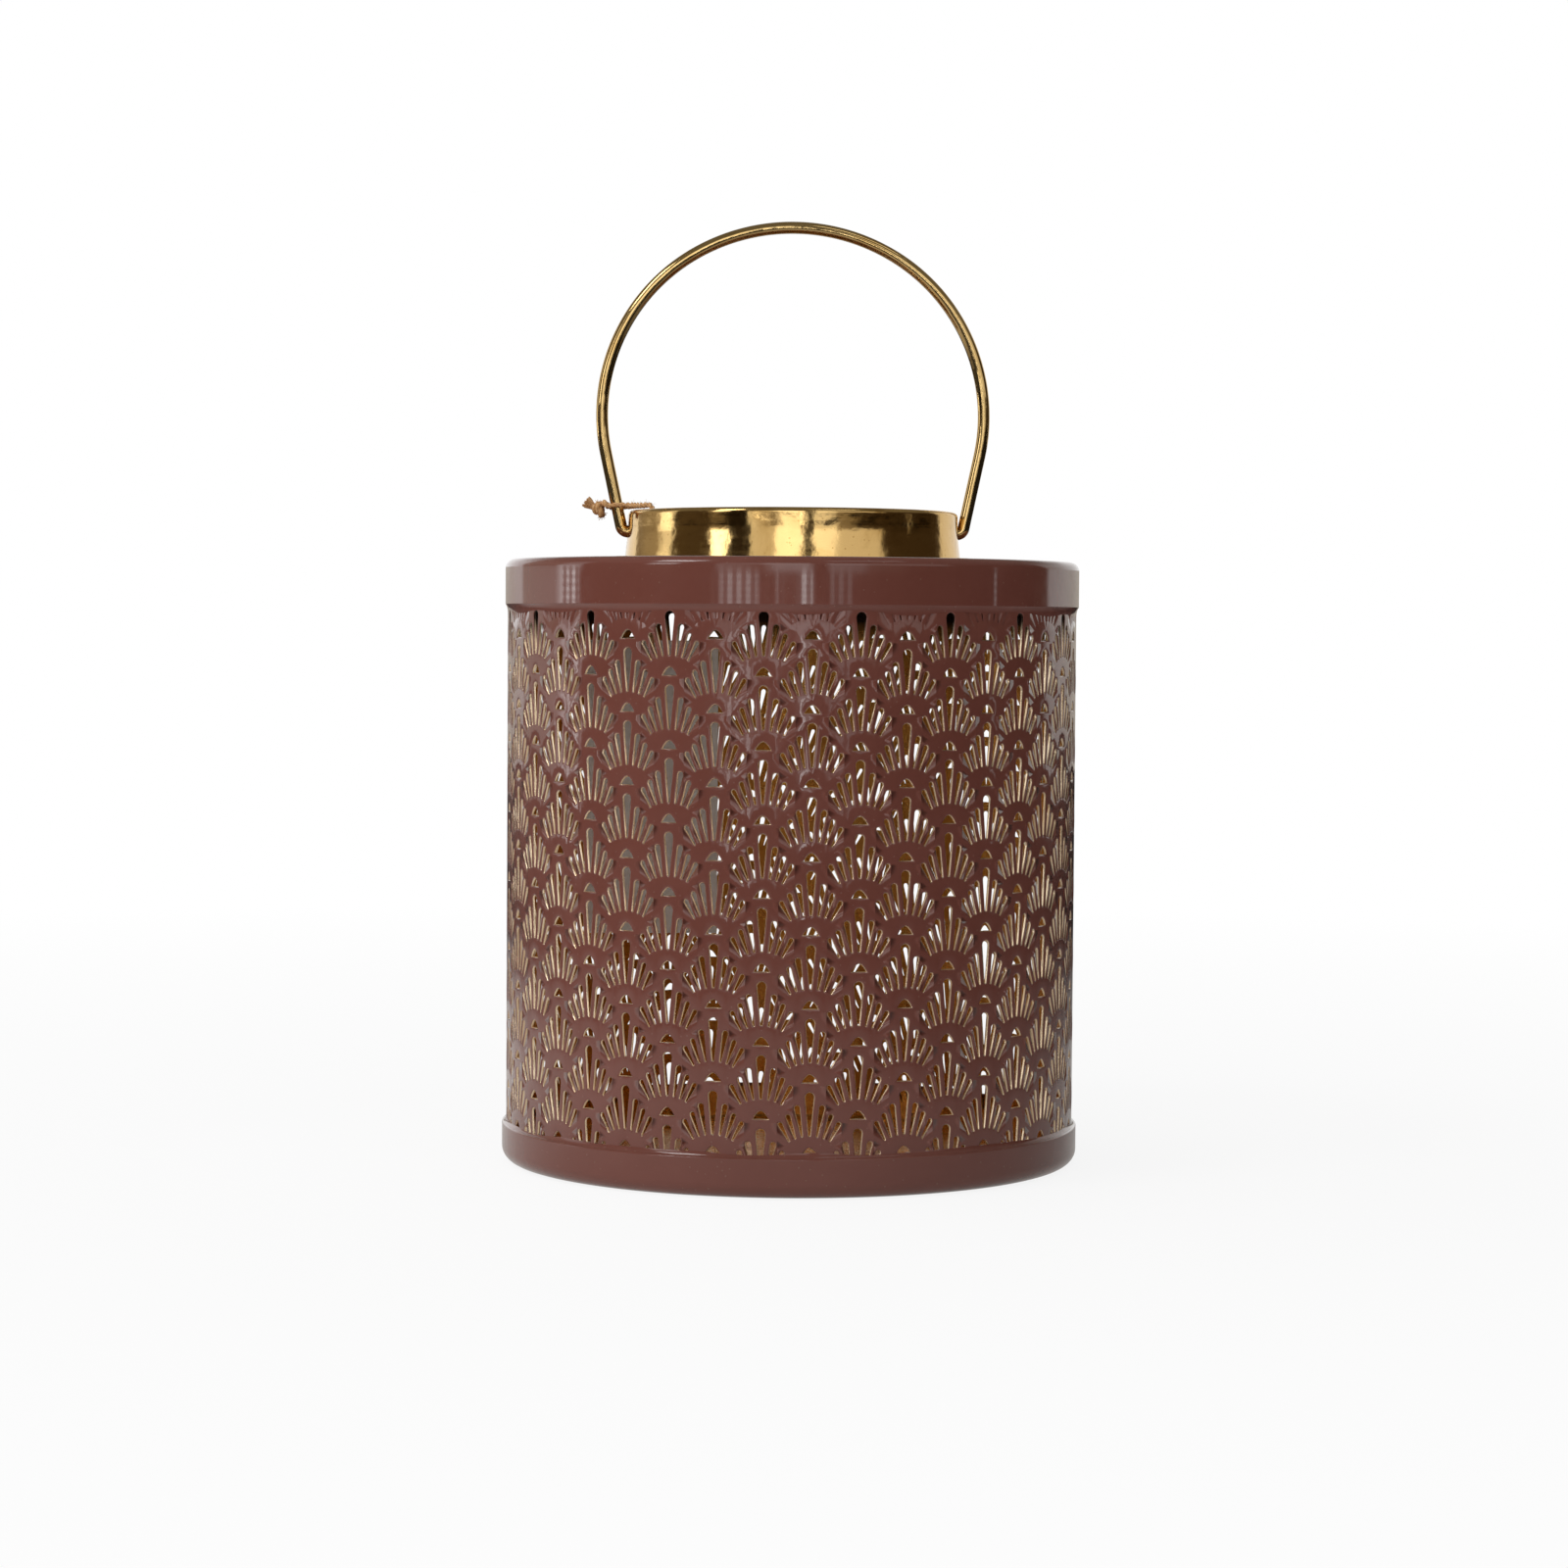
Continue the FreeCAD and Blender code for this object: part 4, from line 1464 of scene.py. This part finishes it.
@dataclass
class PressedShell:
    """The pressed pan and cap, and the paint that has pooled where they meet the pierced sheet."""

    finishes: Finishes
    steps: int = 160
    shell_radius: float = SHELL_RADIUS
    cap_top: float = CAP_TOP
    cap_sheet: float = CAP_SHEET
    cap_inner: float = 82.7
    cap_outer: float = 83.2
    cap_bend: float = 2.5
    skirt_end: float = 161.0
    skirt_edge: float = 0.3
    skirt_round: float = 0.25
    hole_radius: float = 48.9
    hole_round: float = 0.2
    pan_inner: float = 82.8
    pan_outer: float = 83.7
    pan_rim: float = 11.2
    pan_edge: float = 0.35
    rim_outside: float = 0.4
    rim_inside: float = 0.3
    pan_sheet: float = 0.9
    pan_bend: float = 4.2
    panel_radius: float = 58.0
    panel_slope: float = 2.0
    panel_rise: float = 1.2
    panel_bend: float = 0.5
    columns: int = COLUMNS
    seam_columns: float = SEAM_COLUMNS
    pools: tuple[Pool, ...] = (
        Pool("paint_under_skirt", 161.1, 0.62, -2.1, 0.4, 0.9),
        Pool("paint_over_rim", 11.0, 0.95, 1.3, 0.15, 0.8),
    )
    pool_steps: int = 8
    pool_depth: float = 0.25
    pool_section: tuple[tuple[float, float], ...] = ((1.0, 0.0), (0.42, 0.35), (0.15, 0.7))
    pool_end: float = 0.02
    pool_wander: float = 0.05

    def line_inside(self, shape: Shape, low: float, high: float) -> None:
        """Marks the faces that look at the lantern's middle as lacquered.

        Args:
            shape: The piece's shape.
            low: The height above which its inside is lacquered.
            high: The height below which it is.
        """
        middle = Vector((0, 0, self.cap_top / 2))
        for face in shape.faces:
            spot = face.calc_center_median()
            if low < spot.z < high and face.normal.dot(middle - spot) > 0:
                face.material_index = Skin.LINED

    def build_pan(self) -> None:
        """Makes the pan with its raised floor panel and soft lower edge."""
        floor, rise, foot = self.pan_sheet, self.panel_rise, self.panel_radius + self.panel_slope
        shape = turned([
            Corner(0, rise), Corner(self.panel_radius, rise, self.panel_bend),
            Corner(foot, 0, self.panel_bend), Corner(self.pan_outer, 0, self.pan_bend, 8),
            Corner(self.pan_outer, self.pan_rim, self.rim_outside, 3),
            Corner(self.pan_inner, self.pan_rim, self.rim_inside, 2),
            Corner(self.pan_inner, floor, self.pan_bend - floor, 6), Corner(foot, floor, self.panel_bend),
            Corner(self.panel_radius, rise + floor, self.panel_bend), Corner(0, rise + floor),
        ], self.steps, closed=False)
        self.line_inside(shape, floor / 2, self.pan_rim - self.pan_edge)
        pan = finish_piece(shape, "pressed_pan", [self.finishes.enamel, self.finishes.lining], weighted=True)
        fit(pan, Body.ROOT, Coat.ENAMEL, "base_pan")

    def build_cap(self) -> None:
        """Makes the cap with its rounded shoulder and open neck."""
        under = self.cap_top - self.cap_sheet
        shape = turned([
            Corner(self.hole_radius, under), Corner(self.cap_inner, under, self.cap_bend - self.cap_sheet, 5),
            Corner(self.cap_inner, self.skirt_end),
            Corner(self.cap_outer, self.skirt_end, self.skirt_round, 3),
            Corner(self.cap_outer, self.cap_top, self.cap_bend, 8),
            Corner(self.hole_radius, self.cap_top, self.hole_round, 2),
        ], self.steps)
        # The lacquered inside lies where the lining's painted shade is full, so it shows near black
        self.line_inside(shape, self.skirt_end + self.skirt_edge, self.cap_top)
        cap = finish_piece(shape, "pressed_cap", [self.finishes.enamel, self.finishes.lining], weighted=True)
        fit(cap, Body.ROOT, Coat.ENAMEL, "top_cap")

    def add_pool(self, pool: Pool) -> None:
        """Runs a fillet of paint round the sheet, with an edge that sways with the columns from seam to seam.

        Args:
            pool: The paint.
        """
        wall, seat, end = self.shell_radius, pool.seat, pool.seat + pool.drop
        section = [Corner(wall + pool.reach * out, seat + pool.drop * run) for out, run in self.pool_section]
        shape = turned([Corner(wall - self.pool_depth, seat), *section, Corner(wall + self.pool_end, end),
                        Corner(wall - self.pool_depth, end)], self.columns * self.pool_steps)
        seam = self.seam_columns * FULL_TURN / self.columns
        for vert in shape.verts:
            share = (vert.co.z - seat) / pool.drop
            angle = math.atan2(vert.co.x, -vert.co.y)
            wave = math.cos((angle if angle < seam else angle - FULL_TURN) * self.columns / 2)
            uneven = noise.noise(Vector((vert.co.x, vert.co.y, seat)) * self.pool_wander) * pool.rough
            vert.co.z += share * (pool.sway * wave + uneven) * math.copysign(1, pool.drop)
        fit(finish_piece(shape, pool.name, [self.finishes.enamel], crease=60), Body.ROOT, Coat.ENAMEL)

    def build(self) -> None:
        """Makes the pan, the cap and the two pools of paint."""
        self.build_pan()
        self.build_cap()
        for pool in self.pools:
            self.add_pool(pool)


# Collar and bail


@dataclass
class BrassWork:
    """The plated neck collar and the wire bail that springs into it."""

    finishes: Finishes
    steps: int = 192
    cap_top: float = CAP_TOP
    cap_sheet: float = CAP_SHEET
    neck_radius: float = 47.9
    foot_radius: float = 48.8
    sheet: float = 0.6
    rim: float = 188.5
    waist: float = 182.4
    waist_bend: float = 1.2
    lip: float = 45.5
    lip_bend: float = 1.4
    lip_round: float = 0.2
    flange: float = 51.2
    flange_bend: float = 0.4
    seat_round: float = 0.12
    pivot_height: float = 182.4
    hole_radius: float = 2.3
    hole_segments: int = 32
    wire_radius: float = 1.75
    leg_gap: float = 0.27
    foot_bend: float = 2.0
    stub_end: float = 43.7
    leg_lean: float = 12.0
    bail_bulge: float = 6.0
    bail_rise: float = 88.3
    crown_angle: float = 30.0
    wire_segments: int = 24
    foot_steps: int = 8
    side_steps: int = 48
    crown_steps: int = 24
    mirror_merge: float = 0.02

    def across_at(self, out: float) -> Matrix:
        """Gives the matrix that lays a thing along the pivot axis, a distance out from the middle."""
        return Matrix.Translation((out, 0, self.pivot_height)) @ Matrix.Rotation(math.pi / 2, 4, "Y")

    def build_collar(self) -> None:
        """Makes the collar and drills it for the bail."""
        under, foot = self.cap_top - self.cap_sheet, self.foot_radius - self.sheet
        neck, ledge = self.neck_radius - self.sheet, self.rim - self.sheet
        shape = turned([
            Corner(self.foot_radius, self.cap_top), Corner(self.foot_radius, under, self.seat_round, 2),
            Corner(self.flange, under), Corner(self.flange, under - self.sheet),
            Corner(foot, under - self.sheet, self.flange_bend, 3), Corner(foot, self.cap_top),
            Corner(neck, self.waist, self.waist_bend), Corner(neck, ledge, self.lip_bend - self.sheet),
            Corner(self.lip, ledge, self.lip_round, 2), Corner(self.lip, self.rim, self.lip_round, 2),
            Corner(self.neck_radius, self.rim, self.lip_bend, 8),
            Corner(self.neck_radius, self.waist, self.waist_bend),
        ], self.steps)
        collar = finish_piece(shape, "neck_collar", [self.finishes.turned_brass], crease=40, weighted=True)
        drill_shape = bmesh.new()
        bmesh.ops.create_cone(drill_shape, cap_ends=True, segments=self.hole_segments,
                              radius1=self.hole_radius, radius2=self.hole_radius,
                              depth=3 * self.neck_radius, matrix=self.across_at(0))
        drill = finish_piece(drill_shape, "drill", [self.finishes.turned_brass])
        cut = collar.modifiers.new("pivot_holes", "BOOLEAN")
        cut.object, cut.operation, cut.solver = drill, "DIFFERENCE", "EXACT"
        drilled = bpy.data.meshes.new_from_object(collar.evaluated_get(bpy.context.evaluated_depsgraph_get()))
        collar.modifiers.clear()
        collar.data = drilled
        bpy.data.objects.remove(drill)
        fit(collar, Body.ROOT, Coat.BRASS, "collar")

    def find_radii(self, foot: float, lean: float, crown_turn: float) -> tuple[float, float]:
        """Finds the radii at which the bail's leg, its side and its crown run on into each other.

        Args:
            foot: How far out the line of the leg starts.
            lean: The angle at which the leg leans out.
            crown_turn: Half of the crown's angle.

        Returns:
            The side's radius and the crown's.
        """
        reach = foot + self.bail_bulge
        swing = math.sin(crown_turn - lean)
        crown_part, side_part = swing + math.sin(lean), 1 - swing
        leg_part = foot * math.cos(lean) + self.bail_rise * math.sin(lean)
        crown_side = 1 - math.sin(crown_turn)
        spread = crown_part * crown_side - side_part * math.sin(crown_turn)
        side_radius = (crown_part * reach - leg_part * math.sin(crown_turn)) / spread
        return side_radius, (leg_part * crown_side - side_part * reach) / spread

    def build_bail(self) -> None:
        """Sweeps the wire from its sprung-in end to the crown, and mirrors it."""
        lean, crown_turn = math.radians(self.leg_lean), math.radians(self.crown_angle)
        trim = self.foot_bend * math.tan((math.pi / 2 - lean) / 2)
        foot = self.neck_radius + self.leg_gap + self.wire_radius * math.cos(lean) - trim * math.sin(lean)
        side_radius, crown_radius = self.find_radii(foot, lean, crown_turn)
        crown_centre = Vector((0, 0, self.pivot_height + self.bail_rise - crown_radius))
        outward = Vector((math.sin(crown_turn), 0, math.cos(crown_turn)))
        side_centre = crown_centre + outward * (crown_radius - side_radius)
        bend_centre = Vector((foot - trim, 0, self.pivot_height + self.foot_bend))
        leg_foot = Vector((foot, 0, self.pivot_height)) + Vector((math.sin(lean), 0, math.cos(lean))) * trim
        leg_top = side_centre + Vector((math.cos(lean), 0, -math.sin(lean))) * side_radius

        shape = bmesh.new()
        bmesh.ops.create_circle(shape, cap_ends=False, radius=self.wire_radius, segments=self.wire_segments,
                                matrix=self.across_at(self.stub_end))
        tip = self.push(shape, shape.verts[:] + shape.edges[:], Vector((foot - trim - self.stub_end, 0, 0)))
        tip = self.sweep(shape, tip, bend_centre, math.pi / 2 - lean, self.foot_steps)
        tip = self.push(shape, tip, leg_top - leg_foot)
        tip = self.sweep(shape, tip, side_centre, math.pi / 2 - crown_turn + lean, self.side_steps)
        self.sweep(shape, tip, crown_centre, crown_turn, self.crown_steps)
        bmesh.ops.mirror(shape, geom=shape.verts[:] + shape.edges[:] + shape.faces[:],
                         matrix=Matrix.Identity(4), merge_dist=self.mirror_merge, axis="X")
        bmesh.ops.remove_doubles(shape, verts=shape.verts[:], dist=self.mirror_merge / 2)
        bmesh.ops.holes_fill(shape, edges=[edge for edge in shape.edges if edge.is_boundary], sides=0)
        bmesh.ops.recalc_face_normals(shape, faces=shape.faces[:])
        bail = finish_piece(shape, "wire_bail", [self.finishes.wire_brass], crease=50)
        fit(bail, Body.BAIL, Coat.BRASS, "bail_handle")

    def push(self, shape: Shape, tip: Tip, move: Vector) -> Tip:
        """Draws the wire's open end straight on.

        Args:
            shape: The wire.
            tip: The points and edges of its open end.
            move: How far it goes.

        Returns:
            The new open end.
        """
        made = bmesh.ops.extrude_edge_only(shape, edges=only(tip, Edge))["geom"]
        verts = only(made, Vert)
        bmesh.ops.translate(shape, vec=move, verts=verts)
        return verts + [edge for edge in only(made, Edge) if all(vert in verts for vert in edge.verts)]

    def sweep(self, shape: Shape, tip: Tip, centre: Vector, angle: float, steps: int) -> Tip:
        """Bends the wire's open end round an arc in its own plane.

        Args:
            shape: The wire.
            tip: The points and edges of its open end.
            centre: The arc's centre.
            angle: The arc's angle.
            steps: The number of steps.

        Returns:
            The new open end.
        """
        made = bmesh.ops.spin(shape, geom=tip, cent=centre, axis=(0, -1, 0), angle=angle, steps=steps,
                              use_merge=False, use_duplicate=False)
        return made["geom_last"]

    def build(self) -> None:
        """Makes the collar and the bail."""
        self.build_collar()
        self.build_bail()


# Making it


def main() -> None:
    """Builds the lantern, piece by piece."""
    logging.basicConfig(level=logging.INFO, format="%(name)s: %(message)s")
    Studio().build()
    finishes = Finishes()
    Twine(finishes).build()
    PiercedShell(finishes).build()
    PressedShell(finishes).build()
    BrassWork(finishes).build()


if __name__ == "__main__":
    main()
